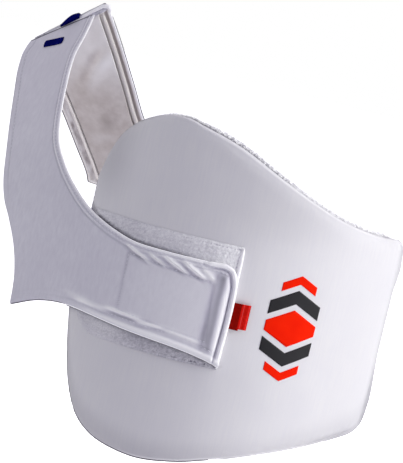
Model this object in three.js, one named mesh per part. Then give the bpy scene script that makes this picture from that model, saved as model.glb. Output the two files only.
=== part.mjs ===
// A batter's cricket chest guard: a curved, padded shield with a towelling back, carried by a fabric yoke.
// The wearer faces -Y, with the left side towards +X and +Z up. The pad curves round the front and left of
// the chest. The yoke goes from the pad's face up over the right shoulder, down the back and round to the
// pad's rear edge, as it stands when worn. Millimetres and degrees.
import * as THREE from "three";

// Pad: its face is part of an upright cylinder, and widths on it are measured along the curve.
const PAD_WIDTH = 297;
const PAD_HEIGHT = 273;
const PAD_RADIUS = 168;
const PAD_THICKNESS = 10;
const PAD_START_ANGLE = -20.6; // of the pad's right-hand edge on the wearer, where 0 faces straight ahead
const CROWN_WIDTH = 14; // how far in from the edge the padded face is rounded off
const CROWN_DROP = 5;
const TOWEL_THICKNESS = 3;
const TOWEL_OVERHANG = 1.5; // the towelling stands out past the cover all round

// Fastening patches on the pad's face
const PATCH_THICKNESS = 1.2;
const LOOP_WIDTH = 128;
const LOOP_HEIGHT = 99;
const LOOP_CORNER = 26;
const LOOP_SHOWS = 14.5; // below the yoke's band
const HOOK_WIDTH = 70;
const HOOK_HEIGHT = 44;
const HOOK_ABOVE_HEM = 9.5; // from the band's lower edge
const HOOK_BEFORE_END = 16.5; // from the band's end

// Yoke, front
const CLOTH = 2.5;
const BAND_REACH = 137.5; // how far the end of the yoke lies over the pad
const BAND_BOTTOM = 99; // above the pad's lowest point
const BAND_WIDTH = 67.5;
const ARM_REACH = 149.5; // how far the shoulder arm stands out beside the pad, along the cloth
const ARM_RISE = 123; // from the band's top to the outer end of the shoulder fold
const ARM_WIDTH = 64;
const SIDE_RADIUS = 700; // the cloth beside the pad is nearly flat
const LEAN_BELOW_BAND = 8.5; // the cloth leans back to the shoulder from this far below the band's top
const FRONT_LEAN = 1.7; // power of the lean, a higher one bends closer to the shoulder
const SHOULDER_SLOPE = 36.9;
const FOLD_DEPTH = 5; // of the shoulder fold behind the pad's own middle line, along Y
const GATHER_COUNT = 5;
const GATHER_PITCH = 14.8;
const GATHER_RUN = 15; // how far each one runs along the band
const GATHER_FALL = 7; // and down
const GATHER_WIDTH = 4;
const GATHER_DEPTH = 1.1;
const GATHER_FADE = 1.3; // in falls from its middle, where a gather has gone flat
const PUFF_DEPTH = 1.6; // of the soft strip between the hook patch and the end hem

// Yoke, back
const BACK_DEPTH = 103; // of the back band behind the pad's rear edge
const BACK_REACH = 230; // half width of the back's curve on the shoulder side
const BACK_MIDDLE = 30; // place across of the middle of the back
const BACK_SIDE_LENGTH = 197; // along the band from the middle of the back to the pad's rear edge
const BACK_LEAN_RISE = 5.5; // above the back's lower corner, where the cloth starts to lean forward
const BACK_LEAN = 1.3;
const BACK_DROP = 117; // from the fold's outer end to the lower corner
const BACK_SHIFT = 36.5; // how far that corner lies in from the fold's outer end
const BACK_ARM_WIDTH = 75.5;
const BACK_BAND_WIDTH = 66;
const BACK_FALL = 88; // of the band from its lower corner to the pad
const LINING_THICKNESS = 1;
const LINING_INSET = 0.16; // share of the back panel's width left to the hem at each side
const LINING_START = 0.45; // row of the back's tables at which the lining starts, below the fold
const LINING_STOP = 10.6; // and the row at which it ends, short of the pad

// Small tabs
const RED_TAB_WIDTH = 20;
const RED_TAB_LENGTH = 26;
const RED_TAB_SHOWS = 15; // past the yoke's end
const RED_TAB_RISE = 21; // above the band's lower edge
const TAB_THICKNESS = 1;
const NAVY_FRONT_LENGTH = 23;
const NAVY_FRONT_WIDTH = 5.5;
const NAVY_FRONT_PLACE = 0.48; // share of the arm's width, from its outer edge
const NAVY_FRONT_DROP = 11.5; // below the fold
const NAVY_FRONT_SLOPE = 24; // degrees from level
const NAVY_TOP_LENGTH = 19;
const NAVY_TOP_WIDTH = 5;
const NAVY_TOP_HEIGHT = 2;
const NAVY_TOP_PLACE = 28; // along X from the fold's outer end

const GAP = 0.3; // between pieces that touch
const CLOTH_GAP = 0.7; // where a curved cloth lies over another piece

// Where the middle of the pad's curve lies from the wearer's middle
const PAD_AXIS = new THREE.Vector2(24.5, 52);

const radians = THREE.MathUtils.degToRad;
const clamp = THREE.MathUtils.clamp;
const lerp = THREE.MathUtils.lerp;

// Outline of the pad: lower and upper edge at stations across it, as shares of its height and width.
const PAD_OUTLINE = [
  { across: 0.0, bottom: 0.36, top: 0.76 },
  { across: 0.02, bottom: 0.265, top: 0.833 },
  { across: 0.05, bottom: 0.163, top: 0.895 },
  { across: 0.1, bottom: 0.072, top: 0.946 },
  { across: 0.16, bottom: 0.028, top: 0.979 },
  { across: 0.24, bottom: 0.006, top: 1.0 },
  { across: 0.32, bottom: 0.0, top: 0.984 },
  { across: 0.42, bottom: 0.015, top: 0.943 },
  { across: 0.52, bottom: 0.047, top: 0.892 },
  { across: 0.62, bottom: 0.078, top: 0.845 },
  { across: 0.72, bottom: 0.105, top: 0.806 },
  { across: 0.82, bottom: 0.13, top: 0.78 },
  { across: 0.9, bottom: 0.152, top: 0.765 },
  { across: 0.955, bottom: 0.172, top: 0.757 },
  { across: 0.985, bottom: 0.2, top: 0.735 },
  { across: 1.0, bottom: 0.265, top: 0.67 },
];

// Shoulder arm of the yoke's front, from the fold down. out is a share of ARM_REACH and up of ARM_RISE,
// for the outer edge; width is a share of ARM_WIDTH, and tilt of SHOULDER_SLOPE.
const ARM_SECTIONS = [
  { out: 0.965, up: 1.0, width: 1.08, tilt: 0.829 },
  { out: 1.0, up: 0.93, width: 1.13, tilt: 0.583 },
  { out: 0.98, up: 0.81, width: 1.07, tilt: 0.518 },
  { out: 0.912, up: 0.64, width: 1.025, tilt: 0.455 },
  { out: 0.834, up: 0.453, width: 0.99, tilt: 0.477 },
  { out: 0.764, up: 0.265, width: 1.005, tilt: 0.585 },
  { out: 0.706, up: 0.09, width: 1.16, tilt: 0.623 },
  { out: 0.648, up: -0.03, width: 1.32, tilt: 0.575 },
  { out: 0.574, up: -0.13, width: 1.49, tilt: 0.515 },
];

// Corner and band of the yoke's front. Left of the pad's edge, across is a share of ARM_REACH, and right
// of it of BAND_REACH; up is a share of BAND_WIDTH. The sharp corner is the row named in CORNER_ROW.
const BAND_SECTIONS = [
  { bottomAcross: -0.478, bottomUp: 0.474, topAcross: 0.144, topUp: 1.136 },
  { bottomAcross: -0.418, bottomUp: 0.133, topAcross: 0.255, topUp: 1.067 },
  { bottomAcross: -0.4, bottomUp: -0.22, topAcross: 0.388, topUp: 1.009 },
  { bottomAcross: -0.186, bottomUp: -0.033, topAcross: 0.544, topUp: 1.0 },
  { bottomAcross: 0.036, bottomUp: 0.052, topAcross: 0.652, topUp: 1.0 },
  { bottomAcross: 0.465, bottomUp: 0.0, topAcross: 0.779, topUp: 1.0 },
  { bottomAcross: 0.77, bottomUp: -0.055, topAcross: 0.854, topUp: 1.0 },
  { bottomAcross: 0.92, bottomUp: -0.112, topAcross: 0.915, topUp: 0.995 },
  { bottomAcross: 0.965, bottomUp: -0.141, topAcross: 0.973, topUp: 0.953 },
  { bottomAcross: 1.0, bottomUp: -0.166, topAcross: 1.0, topUp: 0.84 },
];
const CORNER_ROW = ARM_SECTIONS.length + 2;

// Shoulder arm of the yoke's back, from the fold down: shares of BACK_SHIFT, BACK_DROP, BACK_ARM_WIDTH
// and SHOULDER_SLOPE.
const BACK_ARM_SECTIONS = [
  { shift: 0.0, drop: 0.0, width: 1.0, tilt: 1 },
  { shift: 0.19, drop: 0.243, width: 0.985, tilt: 0.989 },
  { shift: 0.43, drop: 0.497, width: 0.94, tilt: 0.949 },
  { shift: 0.68, drop: 0.743, width: 0.9, tilt: 0.856 },
  { shift: 0.92, drop: 0.93, width: 0.98, tilt: 1.084 },
];

// Band round the back, from its lower corner to the pad's rear edge and over the pad's inside. Across is a
// share of the way from that corner to the pad's edge, down of BACK_FALL and width of BACK_BAND_WIDTH.
const BACK_BAND_SECTIONS = [
  { bottomAcross: 0.0, bottomDown: 0.0, topAcross: 0.19, topDown: 0.0, width: 0.7 },
  { bottomAcross: 0.12, bottomDown: 0.05, topAcross: 0.28, topDown: 0.08, width: 0.78 },
  { bottomAcross: 0.29, bottomDown: 0.16, topAcross: 0.41, topDown: 0.2, width: 0.88 },
  { bottomAcross: 0.49, bottomDown: 0.36, topAcross: 0.54, topDown: 0.38, width: 0.97 },
  { bottomAcross: 0.65, bottomDown: 0.56, topAcross: 0.68, topDown: 0.57, width: 1.0 },
  { bottomAcross: 0.82, bottomDown: 0.77, topAcross: 0.83, topDown: 0.77, width: 1.0 },
  { bottomAcross: 1.0, bottomDown: 0.94, topAcross: 1.0, topDown: 0.94, width: 1.0 },
  { bottomAcross: 1.1, bottomDown: 1.0, topAcross: 1.1, topDown: 1.0, width: 1.0 },
];
const BACK_CORNER_ROW = BACK_ARM_SECTIONS.length;

// Mesh fineness: steps across each kind of piece
const PAD_COLUMNS = 24;
const PAD_ROWS = 7;
const TOWEL_COLUMNS = 16;
const TOWEL_ROWS = 5;
const OUTLINE_STEPS = 96;
const EDGE_INSETS = [0, 3, 8]; // extra lines that follow the pad's rounded edge, in mm
const STEPS_PER_SECTION = 3;
const GATHERED_STEPS = 5; // finer, in the gathered end of the band
const FRONT_COLUMNS = 8;
const BACK_COLUMNS = 6;
const LINING_COLUMNS = 4;
const LOOP_STEPS = [16, 8]; // along and up
const HOOK_STEPS = [8, 4];
const TAB_COLUMNS = 4;
const TAB_ROWS = 2;

// A closed wall between two grids of points. Face A looks the way that the turn from the first index to
// the second points.
function wall(faceA, faceB) {
  const rows = faceA.length;
  const columns = faceA[0].length;
  const positions = [];
  for (const p of [faceA, faceB].flat(2)) positions.push(p.x, p.y, p.z);
  const at = (side, i, j) => (side * rows + i) * columns + j;
  const index = [];
  const quad = (a, b, c, d) => index.push(a, b, c, a, c, d);
  for (let i = 0; i < rows - 1; i++) {
    for (let j = 0; j < columns - 1; j++) {
      quad(at(0, i, j), at(0, i + 1, j), at(0, i + 1, j + 1), at(0, i, j + 1));
      quad(at(1, i, j), at(1, i, j + 1), at(1, i + 1, j + 1), at(1, i + 1, j));
    }
  }
  for (let i = 0; i < rows - 1; i++) {
    quad(at(0, i, 0), at(1, i, 0), at(1, i + 1, 0), at(0, i + 1, 0));
    quad(at(0, i + 1, columns - 1), at(1, i + 1, columns - 1), at(1, i, columns - 1), at(0, i, columns - 1));
  }
  for (let j = 0; j < columns - 1; j++) {
    quad(at(0, 0, j + 1), at(1, 0, j + 1), at(1, 0, j), at(0, 0, j));
    quad(at(0, rows - 1, j), at(1, rows - 1, j), at(1, rows - 1, j + 1), at(0, rows - 1, j + 1));
  }
  const geometry = new THREE.BufferGeometry();
  geometry.setAttribute("position", new THREE.Float32BufferAttribute(positions, 3));
  geometry.setIndex(index);
  geometry.computeVertexNormals();
  return geometry;
}

// Moves a grid of points along its own normals. With mitred true, the first row stays in its upright plane.
function offset(grid, distance, mitred = false) {
  const last = grid.length - 1;
  const side = grid[0].length - 1;
  return grid.map((row, i) =>
    row.map((p, j) => {
      const down = grid[Math.min(i + 1, last)][j].clone().sub(grid[Math.max(i - 1, 0)][j]);
      const along = grid[i][Math.min(j + 1, side)].clone().sub(grid[i][Math.max(j - 1, 0)]);
      const normal = down.cross(along).normalize();
      if (mitred && i === 0) return p.clone().setZ(p.z + distance / normal.z);
      return p.clone().addScaledVector(normal, distance);
    }),
  );
}

// Evenly spaced numbers from low to high, ends included.
const spread = (low, high, steps) => Array.from({ length: steps + 1 }, (_, i) => lerp(low, high, i / steps));

// Pad edge curves
function outlineCurve(edge) {
  const places = PAD_OUTLINE.map((row) => new THREE.Vector3(row.across, row[edge], 0));
  return new THREE.CatmullRomCurve3(places).getPoints(OUTLINE_STEPS);
}
const outlinePoints = { bottom: outlineCurve("bottom"), top: outlineCurve("top") };

// Height of the pad's lower or upper edge at a share of its width.
function edgeHeight(edge, share) {
  const points = outlinePoints[edge];
  const k = clamp(points.findIndex((p) => p.x >= share), 1, points.length - 1);
  const t = clamp((share - points[k - 1].x) / (points[k].x - points[k - 1].x), 0, 1);
  return PAD_HEIGHT * lerp(points[k - 1].y, points[k].y, t);
}

// Distance from a point on the pad's face to the nearest edge, along the face.
const upperBorder = outlinePoints.top.slice().reverse();
const borderShares = [...outlinePoints.bottom, ...upperBorder, outlinePoints.bottom[0]];
const padBorder = borderShares.map((p) => new THREE.Vector3(p.x * PAD_WIDTH, p.y * PAD_HEIGHT, 0));
function edgeDistance(across, height) {
  const p = new THREE.Vector3(across, height, 0);
  const nearest = new THREE.Vector3();
  let least = Infinity;
  for (let k = 0; k < padBorder.length - 1; k++) {
    new THREE.Line3(padBorder[k], padBorder[k + 1]).closestPointToPoint(p, true, nearest);
    least = Math.min(least, nearest.distanceTo(p));
  }
  return least;
}

// How much the face falls away near the edge: a quarter of an ellipse.
function crown(across, height) {
  const inward = clamp(edgeDistance(across, height) / CROWN_WIDTH, 0, 1);
  return CROWN_DROP * (1 - Math.sqrt(1 - (1 - inward) ** 2));
}

// A point on the pad's cylinder: across is measured along its outer face from the pad's edge.
function onCylinder(across, height, radius) {
  const angle = radians(PAD_START_ANGLE) + across / PAD_RADIUS;
  const x = PAD_AXIS.x + radius * Math.sin(angle);
  const y = PAD_AXIS.y - radius * Math.cos(angle);
  return new THREE.Vector3(x, y, height);
}

// Stations across a width, with extra ones close to each end.
function stations(low, high, steps) {
  const inner = spread(low + CROWN_WIDTH, high - CROWN_WIDTH, steps);
  const start = EDGE_INSETS.map((d) => low + d);
  const end = EDGE_INSETS.map((d) => high - d).reverse();
  return [...start, ...inner, ...end];
}

// A layer of the pad between two radii: its face falls away at the edge by the crown if crowned is true.
function padLayer(outer, inner, grow, columns, rows, crowned) {
  const across = stations(-grow, PAD_WIDTH + grow, columns);
  const grid = (radius, drop) =>
    across.map((s) => {
      const share = clamp((s + grow) / (PAD_WIDTH + 2 * grow), 0, 1);
      const low = edgeHeight("bottom", share) - grow;
      const high = edgeHeight("top", share) + grow;
      return stations(low, high, rows).map((z) => onCylinder(s, z, radius - (drop ? crown(s, z) : 0)));
    });
  return wall(grid(outer, crowned), grid(inner, false));
}

// A patch on the pad's face: a rectangle with one rounded lower corner, lifted off the face.
function padPatch({ start, bottom, width, height, lift, corner = 0, steps: [columns, rows] }) {
  const lowEdge = (s) => {
    const inCorner = corner > 0 ? clamp(1 - s / corner, 0, 1) : 0;
    return corner * (1 - Math.sqrt(1 - inCorner ** 2));
  };
  const grid = (radius) =>
    spread(0, width, columns).map((s) =>
      spread(bottom + lowEdge(s), bottom + height, rows).map((z) =>
        onCylinder(start + s, z, radius - crown(start + s, z)),
      ),
    );
  return wall(grid(PAD_RADIUS + lift + PATCH_THICKNESS), grid(PAD_RADIUS + lift));
}

// How far the cloth stands above its own middle line where it is folded over the shoulder
const CREST_RISE = 0.9 * CLOTH;

// Level of each layer on the pad's face
const LOOP_LIFT = GAP;
const HOOK_LIFT = LOOP_LIFT + PATCH_THICKNESS + GAP;
const BAND_LIFT = HOOK_LIFT + PATCH_THICKNESS + CLOTH_GAP;
const BAND_RADIUS = PAD_RADIUS + BAND_LIFT + CLOTH / 2;

// Places that the patches and the band share
const BAND_TOP = BAND_BOTTOM + BAND_WIDTH;
const HOOK_END = BAND_REACH - HOOK_BEFORE_END;
const HOOK_START = HOOK_END - HOOK_WIDTH;
const LEAN_START = BAND_TOP - LEAN_BELOW_BAND;

// Plan of the yoke's front: round the pad, and nearly flat beside it.
function frontPlan(across) {
  if (across >= 0) return onCylinder(across, 0, BAND_RADIUS);
  const start = radians(PAD_START_ANGLE);
  const angle = start + across / SIDE_RADIUS;
  const shift = SIDE_RADIUS - BAND_RADIUS;
  const x = PAD_AXIS.x - shift * Math.sin(start) + SIDE_RADIUS * Math.sin(angle);
  const y = PAD_AXIS.y + shift * Math.cos(start) - SIDE_RADIUS * Math.cos(angle);
  return new THREE.Vector3(x, y, 0);
}

const armAcross = (share) => -share * ARM_REACH;
const FOLD_OUTER = frontPlan(armAcross(ARM_SECTIONS[0].out)).setY(FOLD_DEPTH).setZ(BAND_TOP + ARM_RISE);

// Height of the shoulder fold above a place across the wearer.
const foldHeight = (x) => FOLD_OUTER.z + (x - FOLD_OUTER.x) * Math.tan(radians(SHOULDER_SLOPE));

// Share of the way from an upright sheet to the shoulder fold's plane, at a height.
const leanShare = (x, height, start, power) =>
  clamp((height - start) / (foldHeight(x) - start), 0, 1) ** power;

// Low slanted ridges where the band's top edge is gathered.
function gather(across, height) {
  const fallen = (BAND_TOP - height) / GATHER_FALL;
  const fade = clamp(GATHER_FADE - Math.abs(fallen - 0.5), 0, 1);
  const ridge = (k) => (across - HOOK_START - k * GATHER_PITCH - fallen * GATHER_RUN) / GATHER_WIDTH;
  const starts = Array.from({ length: GATHER_COUNT }, (_, k) => k);
  return GATHER_DEPTH * fade * starts.reduce((sum, k) => sum + Math.exp(-(ridge(k) ** 2)), 0);
}

// The soft strip between the hook patch and the end hem stands out a little.
function puff(across, height) {
  const side = (across - (HOOK_END + BAND_REACH) / 2) / (HOOK_BEFORE_END / 2);
  const up = (height - (BAND_BOTTOM + BAND_TOP) / 2) / (BAND_WIDTH / 2);
  return PUFF_DEPTH * clamp(1 - side * side, 0, 1) * clamp(1 - up * up, 0, 1);
}

// Middle surface of the yoke's front at a place across and up.
function frontSurface(across, height) {
  const p = frontPlan(across);
  const w = leanShare(p.x, height, LEAN_START, FRONT_LEAN);
  const out = across > 0 ? gather(across, height) + puff(across, height) : 0;
  const toAxis = new THREE.Vector3(PAD_AXIS.x - p.x, PAD_AXIS.y - p.y, 0).normalize();
  p.addScaledVector(toAxis, -out);
  return new THREE.Vector3(p.x, lerp(p.y, FOLD_DEPTH - GAP / 2, w), height);
}

// The other end of a section's line, from one end, its length and its tilt as a share of the shoulder's.
function acrossAt(place, length, tilt) {
  const turn = radians(tilt * SHOULDER_SLOPE);
  return place.clone().add(new THREE.Vector3(length * Math.cos(turn), length * Math.sin(turn), 0));
}

// Two edge curves of a bent strip, in cloth coordinates: the outer one has a sharp corner at one row.
function stripEdges(outer, inner, cornerRow) {
  const before = new THREE.CatmullRomCurve3(outer.slice(0, cornerRow + 1));
  const after = new THREE.CatmullRomCurve3(outer.slice(cornerRow));
  const inside = new THREE.CatmullRomCurve3(inner);
  const last = outer.length - 1;
  function outerPoint(row) {
    if (row <= cornerRow) return before.getPoint(row / cornerRow);
    return after.getPoint((row - cornerRow) / (last - cornerRow));
  }
  return (row) => ({ outer: outerPoint(row), inner: inside.getPoint(row / last) });
}

// Grid of points over a bent strip, from its outer to its inner edge.
function stripGrid(edges, surface, rows, columns, inset = 0) {
  return rows.map((row) => {
    const { outer, inner } = edges(row);
    return spread(inset, 1 - inset, columns).map((t) => {
      const p = outer.clone().lerp(inner, t);
      return surface(p.x, p.y);
    });
  });
}

// Front of the yoke
const bandAcross = (share) => share * (share < 0 ? ARM_REACH : BAND_REACH);
const bandUp = (share) => BAND_BOTTOM + share * BAND_WIDTH;
const frontOuter = [
  ...ARM_SECTIONS.map((row) => new THREE.Vector3(armAcross(row.out), BAND_TOP + row.up * ARM_RISE, 0)),
  ...BAND_SECTIONS.map((row) => new THREE.Vector3(bandAcross(row.bottomAcross), bandUp(row.bottomUp), 0)),
];
const frontInner = [
  ...ARM_SECTIONS.map((row, i) => acrossAt(frontOuter[i], row.width * ARM_WIDTH, row.tilt)),
  ...BAND_SECTIONS.map((row) => new THREE.Vector3(bandAcross(row.topAcross), bandUp(row.topUp), 0)),
];
const frontEdges = stripEdges(frontOuter, frontInner, CORNER_ROW);

function frontPanel() {
  const last = frontOuter.length - 1;
  const plainRows = spread(0, CORNER_ROW, CORNER_ROW * STEPS_PER_SECTION);
  const gatheredRows = spread(CORNER_ROW, last, (last - CORNER_ROW) * GATHERED_STEPS);
  const rows = [...plainRows, ...gatheredRows.slice(1)];
  const middle = stripGrid(frontEdges, frontSurface, rows, FRONT_COLUMNS);
  return wall(offset(middle, CLOTH / 2, true), offset(middle, -CLOTH / 2, true));
}

// Back of the yoke: where the back's curve starts, inside the pad's rear edge
const BACK_RADIUS = PAD_RADIUS - PAD_THICKNESS - TOWEL_THICKNESS - GAP - CLOTH_GAP - CLOTH / 2;
const BACK_START = onCylinder(PAD_WIDTH, 0, BACK_RADIUS);
const BACK_END = BACK_MIDDLE + BACK_SIDE_LENGTH;
const BACK_CORNER = new THREE.Vector3(FOLD_OUTER.x + BACK_SHIFT, FOLD_OUTER.z - BACK_DROP, 0);

// Middle surface of the yoke's back at a place across and up. Across is measured straight across the wearer
// on the shoulder side of the back's middle, and along the cloth on the pad's side.
function backSurface(across, height) {
  if (across >= BACK_END) return onCylinder(PAD_WIDTH - (across - BACK_END), height, BACK_RADIUS);
  const turn = across > BACK_MIDDLE ? ((across - BACK_MIDDLE) / BACK_SIDE_LENGTH) * (Math.PI / 2) : 0;
  const sideways = across > BACK_MIDDLE ? Math.sin(turn) : (across - BACK_MIDDLE) / BACK_REACH;
  const reach = across > BACK_MIDDLE ? BACK_START.x - BACK_MIDDLE : BACK_REACH;
  const x = BACK_MIDDLE + reach * sideways;
  const y = BACK_START.y + BACK_DEPTH * Math.sqrt(1 - clamp(sideways, -1, 1) ** 2);
  const w = leanShare(x, height, BACK_CORNER.y + BACK_LEAN_RISE, BACK_LEAN);
  return new THREE.Vector3(x, lerp(y, FOLD_DEPTH + GAP / 2, w), height);
}

const bandPlace = (across, down) =>
  new THREE.Vector3(lerp(BACK_CORNER.x, BACK_END, across), BACK_CORNER.y - down * BACK_FALL, 0);
const backOuter = [
  ...BACK_ARM_SECTIONS.map(
    (row) => new THREE.Vector3(FOLD_OUTER.x + row.shift * BACK_SHIFT, FOLD_OUTER.z - row.drop * BACK_DROP, 0),
  ),
  ...BACK_BAND_SECTIONS.map((row) => bandPlace(row.bottomAcross, row.bottomDown)),
];
const backInner = [
  ...BACK_ARM_SECTIONS.map((row, i) => acrossAt(backOuter[i], row.width * BACK_ARM_WIDTH, row.tilt)),
  ...BACK_BAND_SECTIONS.map((row) => {
    const low = bandPlace(row.topAcross, row.topDown);
    return low.setY(low.y + row.width * BACK_BAND_WIDTH);
  }),
];
const backEdges = stripEdges(backOuter, backInner, BACK_CORNER_ROW);

function backPanel() {
  const last = backOuter.length - 1;
  const middle = stripGrid(backEdges, backSurface, spread(0, last, last * STEPS_PER_SECTION), BACK_COLUMNS);
  return wall(offset(middle, CLOTH / 2, true), offset(middle, -CLOTH / 2, true));
}

function backLining() {
  const steps = Math.round((LINING_STOP - LINING_START) * STEPS_PER_SECTION);
  const rows = spread(LINING_START, LINING_STOP, steps);
  const middle = stripGrid(backEdges, backSurface, rows, LINING_COLUMNS, LINING_INSET);
  const near = CLOTH / 2 + CLOTH_GAP;
  return wall(offset(middle, near + LINING_THICKNESS), offset(middle, near));
}

// The small flat tab laid on the yoke's front, lifted off the cloth.
function tabOnFront(place, lift) {
  const turn = radians(NAVY_FRONT_SLOPE);
  const middle = spread(NAVY_FRONT_WIDTH / 2, -NAVY_FRONT_WIDTH / 2, TAB_ROWS).map((v) =>
    spread(-NAVY_FRONT_LENGTH / 2, NAVY_FRONT_LENGTH / 2, TAB_COLUMNS).map((u) => {
      const across = place.x + u * Math.cos(turn) - v * Math.sin(turn);
      const height = place.y + u * Math.sin(turn) + v * Math.cos(turn);
      return frontSurface(across, height);
    }),
  );
  return wall(offset(middle, lift + TAB_THICKNESS), offset(middle, lift));
}

// Upright tab on the crest of the shoulder fold.
function foldTab() {
  const slope = radians(SHOULDER_SLOPE);
  const box = new THREE.BoxGeometry(NAVY_TOP_LENGTH, NAVY_TOP_WIDTH, NAVY_TOP_HEIGHT);
  box.rotateY(-slope);
  return box;
}

// Finish of each sub-part, as the cloth and tape look
const FINISHES = {
  pad_body: { color: 0xeeedf2, roughness: 0.75 },
  towel_backing: { color: 0xe8e6e4, roughness: 0.95 },
  loop_patch: { color: 0xd4d3db, roughness: 0.95 },
  hook_patch: { color: 0xe2e1e6, roughness: 0.8 },
  front_panel: { color: 0xe6e5ec, roughness: 0.8 },
  back_panel: { color: 0xe6e5ec, roughness: 0.8 },
  back_lining: { color: 0xd6cdc8, roughness: 0.85 },
  red_tab: { color: 0xa3151a, roughness: 0.7 },
  navy_tab_front: { color: 0x10174f, roughness: 0.7 },
  navy_tab_top: { color: 0x10174f, roughness: 0.7 },
};

// Scene graph, with one mesh for each sub-part
const assembly = new THREE.Group();

function add(name, geometry) {
  const mesh = new THREE.Mesh(geometry, new THREE.MeshStandardMaterial({ ...FINISHES[name], metalness: 0 }));
  mesh.name = name;
  assembly.add(mesh);
  return mesh;
}

const PAD_INNER = PAD_RADIUS - PAD_THICKNESS;
add("pad_body", padLayer(PAD_RADIUS, PAD_INNER, 0, PAD_COLUMNS, PAD_ROWS, true));

const towelOuter = PAD_INNER - GAP;
const towelInner = towelOuter - TOWEL_THICKNESS;
add("towel_backing", padLayer(towelOuter, towelInner, TOWEL_OVERHANG, TOWEL_COLUMNS, TOWEL_ROWS, false));

const loop = padPatch({
  start: BAND_REACH - LOOP_WIDTH - GAP,
  bottom: BAND_BOTTOM - LOOP_SHOWS,
  width: LOOP_WIDTH,
  height: LOOP_HEIGHT,
  corner: LOOP_CORNER,
  lift: LOOP_LIFT,
  steps: LOOP_STEPS,
});
add("loop_patch", loop);

const hook = padPatch({
  start: HOOK_START,
  bottom: BAND_BOTTOM + HOOK_ABOVE_HEM,
  width: HOOK_WIDTH,
  height: HOOK_HEIGHT,
  lift: HOOK_LIFT,
  steps: HOOK_STEPS,
});
add("hook_patch", hook);

add("front_panel", frontPanel());
add("back_panel", backPanel());
add("back_lining", backLining());

const red = padPatch({
  start: BAND_REACH + RED_TAB_SHOWS - RED_TAB_LENGTH,
  bottom: BAND_BOTTOM + RED_TAB_RISE,
  width: RED_TAB_LENGTH,
  height: RED_TAB_WIDTH,
  lift: HOOK_LIFT,
  steps: [TAB_COLUMNS, TAB_ROWS],
});
add("red_tab", red);

const foldLine = frontEdges(0);
const navyPlace = foldLine.outer.lerp(foldLine.inner, NAVY_FRONT_PLACE);
navyPlace.y -= NAVY_FRONT_DROP;
add("navy_tab_front", tabOnFront(navyPlace, CLOTH / 2 + GAP));

const crest = add("navy_tab_top", foldTab());
const crestX = FOLD_OUTER.x + NAVY_TOP_PLACE;
const crestClear = CREST_RISE + GAP + NAVY_TOP_HEIGHT / 2 / Math.cos(radians(SHOULDER_SLOPE));
crest.position.set(crestX, FOLD_DEPTH, foldHeight(crestX) + crestClear);

// The part's origin is the seat under the middle of the shoulder fold.
const seatX = FOLD_OUTER.x + 0.5 * ARM_WIDTH * Math.cos(radians(SHOULDER_SLOPE));
assembly.position.set(-seatX, -FOLD_DEPTH, CREST_RISE - foldHeight(seatX));

const part = new THREE.Group();
part.add(assembly);

export default part;
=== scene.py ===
# A batter's chest guard: a curved pad with a white cover and a towelling back, on a hemmed cloth yoke.
# It keeps the form that it has when worn. Sizes are in mm here and become metres in place_of.
# A cloth place is across and up: mm round the pad from its near end, less than 0 beside it, and mm above its
# lowest edge.
# Tone is painted light and shade on a cloth, with some marks of its own: 1 is white, 0 its own colours and -1
# the deep colour of its finish.
import math
import random
from functools import lru_cache

import bmesh
import bpy
from mathutils import Matrix, Vector, kdtree, noise


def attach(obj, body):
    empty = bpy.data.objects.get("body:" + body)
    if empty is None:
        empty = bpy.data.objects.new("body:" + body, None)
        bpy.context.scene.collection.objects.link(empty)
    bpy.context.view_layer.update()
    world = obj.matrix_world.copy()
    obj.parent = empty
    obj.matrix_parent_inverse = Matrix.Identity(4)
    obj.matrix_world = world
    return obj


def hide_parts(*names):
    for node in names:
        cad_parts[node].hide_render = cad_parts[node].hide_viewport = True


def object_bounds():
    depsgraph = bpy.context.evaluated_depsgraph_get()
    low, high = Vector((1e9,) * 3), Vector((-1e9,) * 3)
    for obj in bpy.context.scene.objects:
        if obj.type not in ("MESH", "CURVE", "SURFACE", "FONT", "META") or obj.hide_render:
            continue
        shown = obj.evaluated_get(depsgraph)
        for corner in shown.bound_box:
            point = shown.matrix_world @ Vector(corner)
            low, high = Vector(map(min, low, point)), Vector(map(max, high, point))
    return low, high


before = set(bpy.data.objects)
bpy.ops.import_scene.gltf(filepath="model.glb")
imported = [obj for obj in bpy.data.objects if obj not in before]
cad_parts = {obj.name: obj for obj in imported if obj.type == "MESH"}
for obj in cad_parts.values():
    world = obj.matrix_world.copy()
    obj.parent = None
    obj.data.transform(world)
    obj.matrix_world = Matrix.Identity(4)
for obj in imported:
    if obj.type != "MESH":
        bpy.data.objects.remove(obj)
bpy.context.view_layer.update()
random.seed(11)

MM = 0.001

# Pad sizes, as in the part's source
PAD_WIDTH = 297
PAD_HEIGHT = 273
PAD_RADIUS = 168
PAD_THICKNESS = 10
PAD_START_ANGLE = -20.6
PAD_AXIS = (24.5, 52)
CROWN_WIDTH = 14
CROWN_DROP = 5
TOWEL_THICKNESS = 3
TOWEL_OVERHANG = 1.5
PATCH_THICKNESS = 1.2

# Yoke sizes, as in the part's source
CLOTH = 2.5
BAND_REACH = 137.5
BAND_BOTTOM = 99
BAND_WIDTH = 67.5
BAND_TOP = BAND_BOTTOM + BAND_WIDTH
ARM_REACH = 149.5
ARM_RISE = 123
ARM_WIDTH = 64
SIDE_RADIUS = 700
LEAN_START = BAND_TOP - 8.5
FRONT_LEAN = 1.7
SHOULDER_SLOPE = 36.9
FOLD_DEPTH = 5
BACK_DEPTH = 103
BACK_REACH = 230
BACK_MIDDLE = 30
BACK_SIDE_LENGTH = 197
BACK_LEAN_RISE = 5.5
BACK_LEAN = 1.3
BACK_DROP = 117
BACK_SHIFT = 36.5
BACK_ARM_WIDTH = 75.5
BACK_BAND_WIDTH = 66
BACK_FALL = 88
GAP = 0.3
CLOTH_GAP = 0.7

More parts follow.
